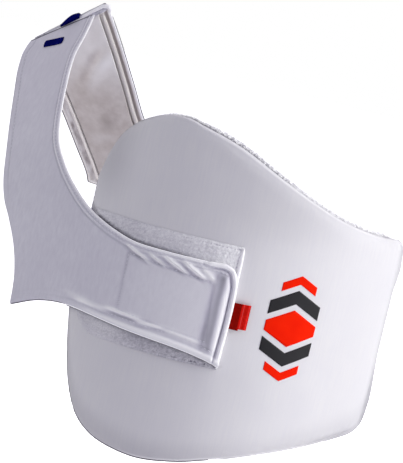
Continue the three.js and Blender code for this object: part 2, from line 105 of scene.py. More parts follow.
PAD_INNER = PAD_RADIUS - PAD_THICKNESS
LOOP_LIFT = GAP
HOOK_LIFT = LOOP_LIFT + PATCH_THICKNESS + GAP
BAND_RADIUS = PAD_RADIUS + HOOK_LIFT + PATCH_THICKNESS + CLOTH_GAP + CLOTH / 2

# Pad outline: across, lower edge and upper edge, as shares of its width and height
PAD_OUTLINE = (
    (0.0, 0.36, 0.76),
    (0.02, 0.265, 0.833),
    (0.05, 0.163, 0.895),
    (0.1, 0.072, 0.946),
    (0.16, 0.028, 0.979),
    (0.24, 0.006, 1.0),
    (0.32, 0.0, 0.984),
    (0.42, 0.015, 0.943),
    (0.52, 0.047, 0.892),
    (0.62, 0.078, 0.845),
    (0.72, 0.105, 0.806),
    (0.82, 0.13, 0.78),
    (0.9, 0.152, 0.765),
    (0.955, 0.172, 0.757),
    (0.985, 0.2, 0.735),
    (1.0, 0.265, 0.67),
)

# Shoulder arm of the yoke's front, from the fold down: out, up, width and tilt, as shares
ARM_SECTIONS = (
    (0.965, 1.0, 1.08, 0.829),
    (1.0, 0.93, 1.13, 0.583),
    (0.98, 0.81, 1.07, 0.518),
    (0.912, 0.64, 1.025, 0.455),
    (0.834, 0.453, 0.99, 0.477),
    (0.764, 0.265, 1.005, 0.585),
    (0.706, 0.09, 1.16, 0.623),
    (0.648, -0.03, 1.32, 0.575),
    (0.574, -0.13, 1.49, 0.515),
)

# Corner and band of the yoke's front: lower edge across and up, upper edge across and up, as shares
BAND_SECTIONS = (
    (-0.478, 0.474, 0.144, 1.136),
    (-0.418, 0.133, 0.255, 1.067),
    (-0.4, -0.22, 0.388, 1.009),
    (-0.186, -0.033, 0.544, 1.0),
    (0.036, 0.052, 0.652, 1.0),
    (0.465, 0.0, 0.779, 1.0),
    (0.77, -0.055, 0.854, 1.0),
    (0.92, -0.112, 0.915, 0.995),
    (0.965, -0.141, 0.973, 0.953),
    (1.0, -0.166, 1.0, 0.84),
)
CORNER_ROW = len(ARM_SECTIONS) + 2

# Shoulder arm of the yoke's back, from the fold down: shift, drop, width and tilt, as shares
BACK_ARM_SECTIONS = (
    (0.0, 0.0, 1.0, 1.0),
    (0.19, 0.243, 0.985, 0.989),
    (0.43, 0.497, 0.94, 0.949),
    (0.68, 0.743, 0.9, 0.856),
    (0.92, 0.93, 0.98, 1.084),
)

# Band round the back: lower edge across and down, upper edge across and down, and width, as shares
BACK_BAND_SECTIONS = (
    (0.0, 0.0, 0.19, 0.0, 0.7),
    (0.12, 0.05, 0.28, 0.08, 0.78),
    (0.29, 0.16, 0.41, 0.2, 0.88),
    (0.49, 0.36, 0.54, 0.38, 0.97),
    (0.65, 0.56, 0.68, 0.57, 1.0),
    (0.82, 0.77, 0.83, 0.77, 1.0),
    (1.0, 0.94, 1.0, 0.94, 1.0),
    (1.1, 1.0, 1.1, 1.0, 1.0),
)
BACK_CORNER_ROW = len(BACK_ARM_SECTIONS)


def clamp(value, low, high):
    return max(low, min(high, value))


def mix(a, b, t):
    return a + (b - a) * t


def bell(distance, width):
    """A smooth ridge, one at its middle line and nearly nothing at two widths from it."""
    return math.exp(-((distance / width) ** 2))


def step_up(value, low, high):
    """Zero below low, one above high and smooth between."""
    t = clamp((value - low) / (high - low), 0, 1)
    return t * t * (3 - 2 * t)


def smooth_point(points, share):
    """The point at a share of the way along a smooth line through the given ones."""
    last = len(points) - 1
    place = clamp(share, 0, 1) * last
    k = min(int(place), last - 1)
    w = place - k
    p1, p2 = points[k], points[k + 1]
    p0 = points[k - 1] if k > 0 else 2 * p1 - p2
    p3 = points[k + 2] if k + 2 <= last else 2 * p2 - p1
    d0, d1, d2 = (max((b - a).length, 1e-4) ** 0.5 for a, b in ((p0, p1), (p1, p2), (p2, p3)))
    t1 = ((p1 - p0) / d0 - (p2 - p0) / (d0 + d1) + (p2 - p1) / d1) * d1
    t2 = ((p2 - p1) / d1 - (p3 - p1) / (d1 + d2) + (p3 - p2) / d2) * d1
    cubic = 2 * p1 - 2 * p2 + t1 + t2
    square = 3 * p2 - 3 * p1 - 2 * t1 - t2
    return cubic * w**3 + square * w**2 + t1 * w + p1


def flat_point(across, up):
    return Vector((across, up, 0.0))


# Pad: its outline, and the distance of a place on it from the edge
OUTLINE_STEPS = 96
outline = {}
for column, edge in ((1, "bottom"), (2, "top")):
    places = [flat_point(row[0], row[column]) for row in PAD_OUTLINE]
    outline[edge] = [smooth_point(places, k / OUTLINE_STEPS) for k in range(OUTLINE_STEPS + 1)]


def edge_height(edge, share):
    points = outline[edge]
    k = 1
    while k < len(points) - 1 and points[k].x < share:
        k += 1
    t = clamp((share - points[k - 1].x) / (points[k].x - points[k - 1].x), 0, 1)
    return PAD_HEIGHT * mix(points[k - 1].y, points[k].y, t)


def table_value(table, place, column):
    """A table's value at a place, by straight lines between its rows."""
    for here, there in zip(table, table[1:]):
        if place <= there[0]:
            return mix(here[column], there[column], (place - here[0]) / (there[0] - here[0]))
    return table[-1][column]


def near_line(points, spacing=0.4):
    """A finder of the distance from a flat place to a line of flat points."""
    dense = []
    for a, b in zip(points, points[1:]):
        steps = max(1, int((b - a).length / spacing))
        dense += [a.lerp(b, k / steps) for k in range(steps)]
    dense.append(points[-1])
    tree = kdtree.KDTree(len(dense))
    for k, p in enumerate(dense):
        tree.insert(p, k)
    tree.balance()
    return lambda across, up: tree.find((across, up, 0))[2]


border = outline["bottom"] + outline["top"][::-1] + outline["bottom"][:1]
border = [flat_point(p.x * PAD_WIDTH, p.y * PAD_HEIGHT) for p in border]
pad_edge = near_line(border)


def crown(across, up):
    inward = clamp(pad_edge(across, up) / CROWN_WIDTH, 0, 1)
    return CROWN_DROP * (1 - math.sqrt(1 - (1 - inward) ** 2))


def on_cylinder(across, up, radius):
    angle = math.radians(PAD_START_ANGLE) + across / PAD_RADIUS
    return Vector((PAD_AXIS[0] + radius * math.sin(angle), PAD_AXIS[1] - radius * math.cos(angle), up))


# Yoke, front: its plan, its lean to the shoulder fold and its edges
def front_plan(across):
    if across >= 0:
        return on_cylinder(across, 0, BAND_RADIUS)
    start = math.radians(PAD_START_ANGLE)
    angle = start + across / SIDE_RADIUS
    shift = SIDE_RADIUS - BAND_RADIUS
    x = PAD_AXIS[0] - shift * math.sin(start) + SIDE_RADIUS * math.sin(angle)
    y = PAD_AXIS[1] + shift * math.cos(start) - SIDE_RADIUS * math.cos(angle)
    return Vector((x, y, 0))


fold_outer = front_plan(-ARM_SECTIONS[0][0] * ARM_REACH)
fold_outer = Vector((fold_outer.x, FOLD_DEPTH, BAND_TOP + ARM_RISE))
slope = math.radians(SHOULDER_SLOPE)


def fold_height(x):
    return fold_outer.z + (x - fold_outer.x) * math.tan(slope)


def lean_share(x, up, start, power):
    return clamp((up - start) / (fold_height(x) - start), 0, 1) ** power


def front_surface(across, up):
    p = front_plan(across)
    w = lean_share(p.x, up, LEAN_START, FRONT_LEAN)
    return Vector((p.x, mix(p.y, FOLD_DEPTH - GAP / 2, w), up))


def across_at(place, length, tilt):
    turn = tilt * slope
    return place + flat_point(length * math.cos(turn), length * math.sin(turn))


def arm_inner(outer, sections, width):
    """Inner edge of a shoulder arm, from its outer edge and its table of widths and tilts."""
    return [across_at(p, row[2] * width, row[3]) for p, row in zip(outer, sections)]


def strip_edges(outer, inner, corner_row):
    """The two edges of a bent strip at a row of its table. The outer one has a sharp corner."""
    before, after = outer[: corner_row + 1], outer[corner_row:]
    last = len(outer) - 1

    def edges(row):
        if row <= corner_row:
            out = smooth_point(before, row / corner_row)
        else:
            out = smooth_point(after, (row - corner_row) / (last - corner_row))
        return out, smooth_point(inner, row / last)

    return edges


def band_across(share):
    return share * (ARM_REACH if share < 0 else BAND_REACH)


front_outer = [flat_point(-out * ARM_REACH, BAND_TOP + up * ARM_RISE) for out, up, _, _ in ARM_SECTIONS]
front_outer += [flat_point(band_across(row[0]), BAND_BOTTOM + row[1] * BAND_WIDTH) for row in BAND_SECTIONS]
front_inner = arm_inner(front_outer, ARM_SECTIONS, ARM_WIDTH)
front_inner += [flat_point(band_across(row[2]), BAND_BOTTOM + row[3] * BAND_WIDTH) for row in BAND_SECTIONS]
FRONT_LAST = len(front_outer) - 1
front_cut = strip_edges(front_outer, front_inner, CORNER_ROW)
SHOULDER_REACH = 3.5  # how much further out the fold reaches when worn


def front_edges(row):
    """The front's two edges as worn."""
    out, inn = front_cut(row)
    return out + (out - inn).normalized() * SHOULDER_REACH * (1 - step_up(row, 0, 1)), inn


# Yoke, back
BACK_RADIUS = PAD_INNER - TOWEL_THICKNESS - GAP - CLOTH_GAP - CLOTH / 2
back_start = on_cylinder(PAD_WIDTH, 0, BACK_RADIUS)
BACK_END = BACK_MIDDLE + BACK_SIDE_LENGTH
back_corner = flat_point(fold_outer.x + BACK_SHIFT, fold_outer.z - BACK_DROP)


def back_surface(across, up):
    if across >= BACK_END:
        return on_cylinder(PAD_WIDTH - (across - BACK_END), up, BACK_RADIUS)
    if across > BACK_MIDDLE:
        sideways = math.sin((across - BACK_MIDDLE) / BACK_SIDE_LENGTH * math.pi / 2)
        reach = back_start.x - BACK_MIDDLE
    else:
        sideways = (across - BACK_MIDDLE) / BACK_REACH
        reach = BACK_REACH
    x = BACK_MIDDLE + reach * sideways
    y = back_start.y + BACK_DEPTH * math.sqrt(1 - clamp(sideways, -1, 1) ** 2)
    w = lean_share(x, up, back_corner.y + BACK_LEAN_RISE, BACK_LEAN)
    return Vector((x, mix(y, FOLD_DEPTH + GAP / 2, w), up))


def band_place(across, down):
    return flat_point(mix(back_corner.x, BACK_END, across), back_corner.y - down * BACK_FALL)


back_outer = [
    flat_point(fold_outer.x + shift * BACK_SHIFT, fold_outer.z - drop * BACK_DROP)
    for shift, drop, _, _ in BACK_ARM_SECTIONS
]
back_outer += [band_place(row[0], row[1]) for row in BACK_BAND_SECTIONS]
back_inner = arm_inner(back_outer, BACK_ARM_SECTIONS, BACK_ARM_WIDTH)
back_inner += [band_place(*row[2:4]) + flat_point(0, row[4] * BACK_BAND_WIDTH) for row in BACK_BAND_SECTIONS]
BACK_LAST = len(back_outer) - 1
back_edges = strip_edges(back_outer, back_inner, BACK_CORNER_ROW)

# The part's origin is the seat under the middle of the shoulder fold.
seat_x = fold_outer.x + 0.5 * ARM_WIDTH * math.cos(slope)
SEAT_SHIFT = Vector((-seat_x, -FOLD_DEPTH, 0.9 * CLOTH - fold_height(seat_x)))


def place_of(p):
    return (p + SEAT_SHIFT) * MM


# Materials
def linear(colour):
    """A hex colour as linear light, with full cover."""
    parts = [int(colour[k : k + 2], 16) / 255 for k in (1, 3, 5)]
    parts = [c / 12.92 if c <= 0.04045 else ((c + 0.055) / 1.055) ** 2.4 for c in parts]
    return (*parts, 1.0)


def add_node(tree, kind, inputs=None, **settings):
    """Adds a node with its settings, and with its inputs set or linked."""
    made = tree.nodes.new(kind)
    for name, value in settings.items():
        setattr(made, name, value)
    for name, value in (inputs or {}).items():
        if isinstance(value, bpy.types.NodeSocket):
            tree.links.new(value, made.inputs[name])
        else:
            made.inputs[name].default_value = value
    return made


def joined(tree, a, b, operation="ADD"):
    return add_node(tree, "ShaderNodeMath", {0: a, 1: b}, operation=operation).outputs[0]


def blended(tree, share, a, b):
    """Colour b over colour a by a share."""
    return add_node(tree, "ShaderNodeMix", {0: share, 6: a, 7: b}, data_type="RGBA").outputs[2]


def cloth(
    name, light, shade, roughness, sheen, pattern, bump, grain,
    coords="UV", deep="#7a7883", gloss=0.25, glow=0,
):
    """A cloth: two colours mixed by its own pattern and by broad soiling, with the pattern as relief too.
    The pattern is a function that returns relief and tone, bump its depth in mm, grain the size of its
    blotches. The mesh's tone is painted light and shade: towards white for painted highlights, towards the
    deep colour for painted shade. Glow is painted light: an emission that brightens the cloth."""
    material = bpy.data.materials.new(name)
    material.use_nodes = True
    tree = material.node_tree
    tree.nodes.clear()
    place = add_node(tree, "ShaderNodeTexCoord").outputs[coords]
    relief, tone = pattern(tree, place)
    blotches = {"Vector": place, "Scale": 1 / (grain * MM), "Detail": 3.0, "Roughness": 0.55}
    blotch = add_node(tree, "ShaderNodeTexNoise", blotches).outputs["Fac"]
    blend = joined(tree, tone, blotch, "MULTIPLY")
    ramp = add_node(tree, "ShaderNodeMapRange", {"Value": blend, "From Min": 0.12, "From Max": 0.42})
    # Painted light and shade from the mesh's tone: mixed towards white, then towards the deep colour.
    painted_tone = add_node(tree, "ShaderNodeAttribute", attribute_name="tone").outputs["Fac"]
    colour = blended(tree, ramp.outputs["Result"], linear(shade), linear(light))
    colour = blended(tree, painted_tone, colour, (1, 1, 1, 1))
    colour = blended(tree, joined(tree, painted_tone, -1.0, "MULTIPLY"), colour, linear(deep))
    raised = add_node(tree, "ShaderNodeBump", {"Height": relief, "Distance": bump * MM, "Strength": 1.0})
    # Emission by glow is painted light, not a lamp.
    surface = {
        "Base Color": colour,
        "Roughness": roughness,
        "Sheen Weight": sheen,
        "Sheen Roughness": 0.5,
        "Specular IOR Level": gloss,
        "Emission Color": linear("#ffffff"),
        "Emission Strength": glow,
        "Normal": raised.outputs["Normal"],
    }
    shader = add_node(tree, "ShaderNodeBsdfPrincipled", surface)
    add_node(tree, "ShaderNodeOutputMaterial", {"Surface": shader.outputs["BSDF"]})
    return material


def wave(tree, place, pitch, direction, turn=0.0, distortion=0.0):
    """Ridges a pitch in mm apart, turned by an angle in degrees."""
    turned = add_node(tree, "ShaderNodeMapping", {"Vector": place, "Rotation": (0, 0, math.radians(turn))})
    scale = math.pi / 10 / (pitch * MM)
    ridges = {"Vector": turned.outputs[0], "Scale": scale, "Distortion": distortion, "Detail": 1.0}
    kinds = {"wave_type": "BANDS", "bands_direction": direction, "wave_profile": "SIN"}
    return add_node(tree, "ShaderNodeTexWave", ridges, **kinds).outputs["Fac"]


def grain_noise(tree, place, size, detail=2.0):
    """Noise whose grains are a size in mm across: one number, or across and up."""
    across, up = size if isinstance(size, tuple) else (size, size)
    scale = (1 / (across * MM), 1 / (up * MM), 1 / (across * MM))
    scaled = add_node(tree, "ShaderNodeMapping", {"Vector": place, "Scale": scale})
    grains = {"Vector": scaled.outputs[0], "Scale": 1.0, "Detail": detail, "Roughness": 0.6}
    return add_node(tree, "ShaderNodeTexNoise", grains).outputs["Fac"]


def plain_weave(tree, place):
    """Woven cover cloth: threads 0.35 mm apart, drawn at 0.9 mm so that they show, with slubs up the pad."""
    warp = wave(tree, place, 0.9, "X")
    weft = wave(tree, place, 0.9, "Y")
    slubs = grain_noise(tree, place, (1.6, 26), 1.0)
    return joined(tree, joined(tree, warp, weft), slubs), slubs


def knit(tree, place):
    """Elastic knit: fine slanting ribs, 0.5 mm apart in the cloth and drawn at 1 mm."""
    ribs = wave(tree, place, 1.0, "X", turn=32, distortion=0.4)
    cross = wave(tree, place, 1.0, "X", turn=-48)
    return joined(tree, ribs, cross), grain_noise(tree, place, (3.0, 9.0), 2.0)


def brushed(tree, place):
    """Brushed lining: soft short nap with no thread to see."""
    nap = grain_noise(tree, place, 1.1, 3.0)
    return nap, grain_noise(tree, place, 7.0, 2.0)


def loop_nap(tree, place):
    """Loop fastener: tangled loops 0.6 mm across, drawn at 1 mm."""
    nap = grain_noise(tree, place, 1.0, 2.5)
    clumps = grain_noise(tree, place, 2.2, 2.0)
    return joined(tree, nap, clumps), nap


def terry(tree, place):
    """Towelling: loops 1.3 mm across that stand close together, drawn at 1.6 mm."""
    loops = {"Vector": place, "Scale": 1 / (1.6 * MM), "Randomness": 0.9}
    hollows = add_node(tree, "ShaderNodeTexVoronoi", loops).outputs["Distance"]
    return joined(tree, 1.0, hollows, "SUBTRACT"), grain_noise(tree, place, 2.4, 2.0)


def ribbed_tape(tree, place):
    """Woven tape: ribs across it, 1.1 mm apart."""
    ribs = wave(tree, place, 1.1, "X")
    threads = wave(tree, place, 0.7, "Y")
    return joined(tree, ribs, threads), grain_noise(tree, place, 2.0, 2.0)


def pressed_film(tree, place):
    """Heat-pressed film: smooth, with the cover's weave showing faintly through."""
    return wave(tree, place, 0.9, "X"), grain_noise(tree, place, 14.0, 1.0)


# Finishes: name, two colours, roughness, sheen, pattern, relief and size of blotches. Hems lie double, so
# they are the whitest. A low glow on hems and loose loops is painted light that whitens them. The overlock is
# grey as
# painted shade: darker for edges in shade, lighter for the lit end.
cover_cloth = cloth("Woven cotton cover", "#e2e1e2", "#dedde0", 0.82, 0.15, plain_weave, 0.01, 45)
yoke_cloth = cloth("Elastic knit", "#dddce4", "#d2d0da", 0.85, 0.2, knit, 0.045, 60)
hem_cloth = cloth("Turned hem of knit", "#ffffff", "#fbfafd", 0.8, 0.2, knit, 0.05, 20, "Object", glow=0.06)
facing_cloth = cloth("Cream twill facing", "#f3efec", "#dcd6d3", 0.88, 0.2, knit, 0.06, 16, deep="#877c79")
cream_hem = cloth(
    "Turned hem of lining", "#fffaf4", "#f8f2ec", 0.9, 0.2, brushed, 0.05, 20, "Object", glow=0.03
)
lining_cloth = cloth("Brushed lining", "#dad3cf", "#c5bcb7", 0.9, 0.25, brushed, 0.06, 38, deep="#8c807d")
loop_cloth = cloth("Loop fastener pile", "#e7e6e9", "#c7c5cd", 0.95, 0.3, loop_nap, 0.25, 30)
hook_cloth = cloth("Hook fastener tape", "#e6e5ea", "#cfcfd6", 0.6, 0.0, ribbed_tape, 0.3, 30)
towel_cloth = cloth("Cotton towelling", "#ffffff", "#dfdee2", 0.97, 0.3, terry, 0.4, 25, "Object")
loose_loops = cloth(
    "Loose towelling loops", "#ffffff", "#cfced3", 0.97, 0.3, terry, 0.2, 3, "Object", glow=0.29
)
red_tape = cloth(
    "Red woven tape", "#f0241c", "#d01810", 0.6, 0.0, ribbed_tape, 0.1, 12, deep="#3c0201", gloss=0
)
navy_tape = cloth(
    "Navy woven tape", "#0a1068", "#060a48", 0.9, 0.0, ribbed_tape, 0.1, 12, deep="#02030c", gloss=0
)
red_film = cloth("Red pressed film", "#ff2503", "#f81d02", 0.6, 0.0, pressed_film, 0.02, 60, gloss=0.03)
charcoal_film = cloth(
    "Charcoal pressed film", "#141317", "#0e0d11", 0.45, 0.0, pressed_film, 0.02, 60, gloss=0.4
)
shaded_overlock = cloth("Overlock thread, grey as painted shade", "#6f6d75", "#64626a", 0.85, 0.1, brushed, 0.02, 6, "Object")
lit_side_overlock = cloth("Overlock thread", "#bfbec4", "#b5b4ba", 0.85, 0.1, brushed, 0.02, 6, "Object")
thread = cloth("Polyester thread", "#f4f3f8", "#dddce4", 0.6, 0.1, brushed, 0.02, 6, "Object")


# Making pieces
def placed(name, data):
    """Adds an object of the scene for its data."""
    made = bpy.data.objects.new(name, data)
    bpy.context.scene.collection.objects.link(made)
    return made


def finished(name, bm, finish, slot, *nodes, inner_finish=None):
    """Makes the mesh a piece of the object, in place of the named solids."""
    bmesh.ops.recalc_face_normals(bm, faces=bm.faces[:])
    for face in bm.faces:
        face.smooth = True
        if not inner_finish:
            face.material_index = 0
    mesh = bpy.data.meshes.new(name)
    bm.to_mesh(mesh)
    bm.free()
    piece = placed(name, mesh)
    mesh.materials.append(finish)
    if inner_finish:
        mesh.materials.append(inner_finish)
    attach(piece, "root")
    if nodes:
        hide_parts(*nodes)
    return piece


def slab(steps, flat, solid, rim_cuts=2, tone=None):
    """A closed sheet. flat gives the cloth place of a share along and across, solid the point at a depth of
    it, from 0 on the outer face to 1 on the inner one, and tone its painted light and shade. The place is
    also its UV."""
    bm = bmesh.new()
    shade = bm.verts.layers.float.new("tone")
    bmesh.ops.create_grid(bm, x_segments=steps[0], y_segments=steps[1], size=0.5)
    bmesh.ops.translate(bm, vec=(0.5, 0.5, 0), verts=bm.verts[:])
    uv = bm.loops.layers.uv.new("cloth")
    inner = bmesh.ops.extrude_face_region(bm, geom=bm.faces[:], use_keep_orig=True)["geom"]
    bmesh.ops.translate(bm, vec=(0, 0, 1), verts=[g for g in inner if isinstance(g, bmesh.types.BMVert)])
    walls = [e for e in bm.edges if abs(e.verts[0].co.z - e.verts[1].co.z) > 0.5]
    bmesh.ops.subdivide_edges(bm, edges=walls, cuts=rim_cuts, use_grid_fill=True)
    for face in bm.faces:
        face.material_index = int(all(v.co.z > 0.99 for v in face.verts))
    places = {}
    for v in bm.verts:
        key = (round(v.co.x, 6), round(v.co.y, 6))
        if key not in places:
            places[key] = flat(clamp(v.co.x, 0, 1), clamp(v.co.y, 0, 1))
        across, up = places[key]
        for loop in v.link_loops:
            loop[uv].uv = (across * MM, up * MM)
        if tone:
            v[shade] = clamp(tone(across, up, v.co.z), -1, 1)
        v.co = place_of(solid(across, up, v.co.z))
    return bm


def dense_ends(share, amount=0.6):
    """Spreads steps so that they lie closer together near both ends."""
    return share - amount * math.sin(2 * math.pi * share) / (2 * math.pi)


def rough(across, up, size, depth=1, layer=0):
    """Unevenness of cloth: hills of a size and depth, each layer with its own."""
    return depth * noise.noise(Vector((across / size, up / size, layer)))


def cloth_thickness(distance, full, rounding=1.6):
    """Half the thickness of a cloth at a distance from its edge, which is rounded."""
    t = clamp(distance / rounding, 0, 1)
    return full / 2 * (0.25 + 0.75 * math.sqrt(1 - (1 - t) ** 2))


@lru_cache(maxsize=None)
def normal_at(surface, across, up):
    """Normal of a cloth's middle surface on the side that faces forward, taken just below the place."""
    beside, below = 0.4, up - 0.8
    along = surface(across + beside, below) - surface(across - beside, below)
    rise = surface(across, up) - surface(across, below)
    return along.cross(rise).normalized()


TAPER_POINTS = 4
ROLL_RESOLUTION = 2


def roll(name, points, radius, finish, slot="yoke_fabric", taper=0.4, growth=1.0):
    """A roll of cloth along a line of points, thinner at its ends. It grows to a share of its radius."""
    curve = bpy.data.curves.new(name, "CURVE")
    curve.dimensions = "3D"
    curve.bevel_depth = radius * MM
    curve.bevel_resolution = ROLL_RESOLUTION
    curve.use_fill_caps = True
    spline = curve.splines.new("POLY")
    spline.points.add(len(points) - 1)
    last = len(points) - 1
    for k, p in enumerate(points):
        spline.points[k].co = (*place_of(p), 1)
        ends = clamp(min(k, last - k) / TAPER_POINTS, 0, 1)
        spline.points[k].radius = mix(taper, 1, math.sqrt(ends)) * mix(1, growth, k / last)
    draft = placed(name + "_draft", curve)
    bpy.context.view_layer.update()
    mesh = bpy.data.meshes.new_from_object(draft.evaluated_get(bpy.context.evaluated_depsgraph_get()))
    bpy.data.objects.remove(draft)
    bpy.data.curves.remove(curve)
    bm = bmesh.new()
    bm.from_mesh(mesh)
    bpy.data.meshes.remove(mesh)
    bmesh.ops.remove_doubles(bm, verts=bm.verts[:], dist=1e-7)
    return finished(name, bm, finish, slot)


def scatter(name, lumps, finish, slot):
    """Many small closed lumps of thread as one piece, each from its own place, turn and size."""
    seed = bmesh.new()
    bmesh.ops.create_icosphere(seed, subdivisions=1, radius=1)
    lump = bpy.data.meshes.new("lump")
    seed.to_mesh(lump)
    seed.free()
    bm = bmesh.new()
    for matrix in lumps:
        lump.transform(matrix)
        bm.from_mesh(lump)
        lump.transform(matrix.inverted())
    bpy.data.meshes.remove(lump)
    return finished(name, bm, finish, slot)


def lump_matrix(place, along, out, length, width, height):
    """Turn and size of a lump that lies along one way and stands out another."""
    side = out.cross(along).normalized()
    out = along.cross(side).normalized()
    along = along.normalized()
    turn = Matrix((along, side, out)).transposed().to_4x4()
    size = Matrix.Diagonal((length / 2 * MM, width / 2 * MM, height / 2 * MM, 1))
    return Matrix.Translation(place_of(place)) @ turn @ size


def stitch_row(skin, points, pitch=3.2, length=2.3, width=0.55, height=0.5, aim=0.3):
    """Stitches along a line of cloth places, on a skin that gives each place's point and normal.
    Each points at the place that lies a little further along, by aim."""
    lumps = []
    carried = pitch / 2
    for a, b in zip(points, points[1:]):
        span = (b - a).length
        while carried < span:
            here = a.lerp(b, carried / span)
            ahead = here + (b - a).normalized() * aim
            p, out = skin(here.x, here.y)
            q, _ = skin(ahead.x, ahead.y)
            lumps.append(lump_matrix(p, q - p, out, length, width, height))
            carried += pitch
        carried -= span
    return lumps


# Edges of the pad as sewn: a share along it, how far the towelling stands out there past the foam's edge, and
# how much of the towelling shows past the cover
SEWN_EDGES = {
    "top": (
        (0.0, 0.6, 0.6),
        (0.1, 1.3, 0.6),
        (0.18, 0.8, 0.6),
        (0.22, -0.8, 0.8),
        (0.28, -1.8, 2.2),
        (0.32, -0.6, 3.1),
        (0.4, 1.1, 3.3),
        (0.6, 1.1, 3.1),
        (0.68, 0.6, 2.8),
        (0.8, 0.5, 2.5),
        (0.9, 1.4, 2.5),
        (1.0, 1.6, 1.4),
    ),
    "bottom": (
        (0.0, 1.0, 0.5),
        (0.1, 0.4, 0.5),
        (0.2, 0.1, 0.5),
        (0.3, -0.4, 0.5),
        (0.38, -1.4, 0.5),
        (0.47, -1.3, 0.5),
        (0.55, 1.4, 0.7),
        (0.65, 2.0, 1.2),
        (0.75, 2.7, 1.8),
        (0.84, 2.8, 1.8),
        (0.9, 3.4, 1.8),
        (1.0, 3.2, 1.0),
    ),
}


def towel_overhang(share, edge):
    return table_value(SEWN_EDGES[edge], share, 1)


def cover_height(edge, share):
    """Height of the cover's own sewn edge."""
    inside = towel_overhang(share, edge) - table_value(SEWN_EDGES[edge], share, 2)
    return edge_height(edge, share) + (inside if edge == "top" else -inside)


# Edges of the yoke's front, in cloth places
def edge_points(edges, side, first, last, steps=160):
    return [edges(mix(first, last, k / steps))[side] for k in range(steps + 1)]


def inset_line(edges, side, first, last, inset, steps=160):
    """A line of cloth places that runs inside an edge at a distance in mm."""
    line = []
    for k in range(steps + 1):
        out, inn = edges(mix(first, last, k / steps))
        here, there = (out, inn) if side == 0 else (inn, out)
        line.append(here + (there - here).normalized() * inset)
    return line


front_arm_edge = near_line(edge_points(front_edges, 0, 0, CORNER_ROW), 0.2)
front_low_edge = near_line(edge_points(front_edges, 0, CORNER_ROW, FRONT_LAST), 0.2)
front_top_edge = near_line(edge_points(front_edges, 1, 0, FRONT_LAST, 260), 0.2)
front_end_edge = near_line([front_outer[-1], front_inner[-1]], 0.2)


def yoke_edge_shadow(across, up):
    """Painted shadow: a grey line on the pad's face along the yoke's lower and upper edges, where they lie on
    it.
    """
    low = bell(front_low_edge(across, up) - 1.8, 1.3)
    top = bell(front_top_edge(across, up) - 1.5, 0.9) * (1 - step_up(across, 62, 105))
    return 0.35 * low + 0.5 * top


# Pad cover: a crowned foam pad, taut, with small puckers where its edge is sewn
PUCKER_DEPTH = 0.3
LIP_HEIGHT = 0.3
SEAM_TUCK = 1.2
PAD_BULGE = 0.5
END_FULLNESS = 0.85
END_SPREAD = 0.6
LOW_CORNER_SPREAD = 4.5
TOP_CORNER_SPREAD = 3.6
pad_middle = flat_point(0.48 * PAD_WIDTH, 0.46 * PAD_HEIGHT)


def cover_place(share, v):
    """Flat place at a share of the cover's width and height. Its far end spreads a little."""
    corners = LOW_CORNER_SPREAD * (1 - step_up(v, 0, 0.4)) + TOP_CORNER_SPREAD * step_up(v, 0.8, 1)
    spread = END_SPREAD + corners
    across = share * PAD_WIDTH + spread * step_up(share, 0.86, 1)
    return across, mix(cover_height("bottom", share), cover_height("top", share), v)


LONG_STEPS = 200
SHORT_STEPS = 60
cover_top = [flat_point(*cover_place(k / LONG_STEPS, 1)) for k in range(LONG_STEPS)]
cover_end = [flat_point(*cover_place(1, 1 - k / SHORT_STEPS)) for k in range(SHORT_STEPS)]
cover_low = [flat_point(*cover_place(1 - k / LONG_STEPS, 0)) for k in range(LONG_STEPS + 1)]
cover_start = [flat_point(*cover_place(0, k / SHORT_STEPS)) for k in range(1, SHORT_STEPS + 1)]
cover_edge = near_line(cover_top + cover_end + cover_low + cover_start)


def pad_flat(u, v):
    return cover_place(dense_ends(u), dense_ends(v))


@lru_cache(maxsize=None)
def pad_face(across, up):
    """Radius of the pad's face."""
    edge = cover_edge(across, up)
    puckers = PUCKER_DEPTH * bell(edge - 5, 4) * rough(across, up, 4.5, layer=3)
    lip = LIP_HEIGHT * bell(edge - 0.9, 0.8)
    soft = rough(across, up, 70, 0.8) + rough(across, up, 24, 0.2, 5)
    fuller = END_FULLNESS * step_up(across, PAD_WIDTH - 34, PAD_WIDTH - 12)
    return PAD_RADIUS - crown(across, up) * (1 - fuller) + puckers + lip + soft * step_up(edge, 0, 20) - 0.1


def pad_solid(across, up, depth):
    edge = cover_edge(across, up)
    inner = PAD_INNER + SEAM_TUCK * (1 - step_up(edge, 0, 5))
    radius = mix(pad_face(across, up), inner, depth)
    bulge = PAD_BULGE * math.sin(math.pi * depth)
    out = (flat_point(across, up) - pad_middle).normalized() * bulge
    return on_cylinder(across + out.x, up + out.y, radius)


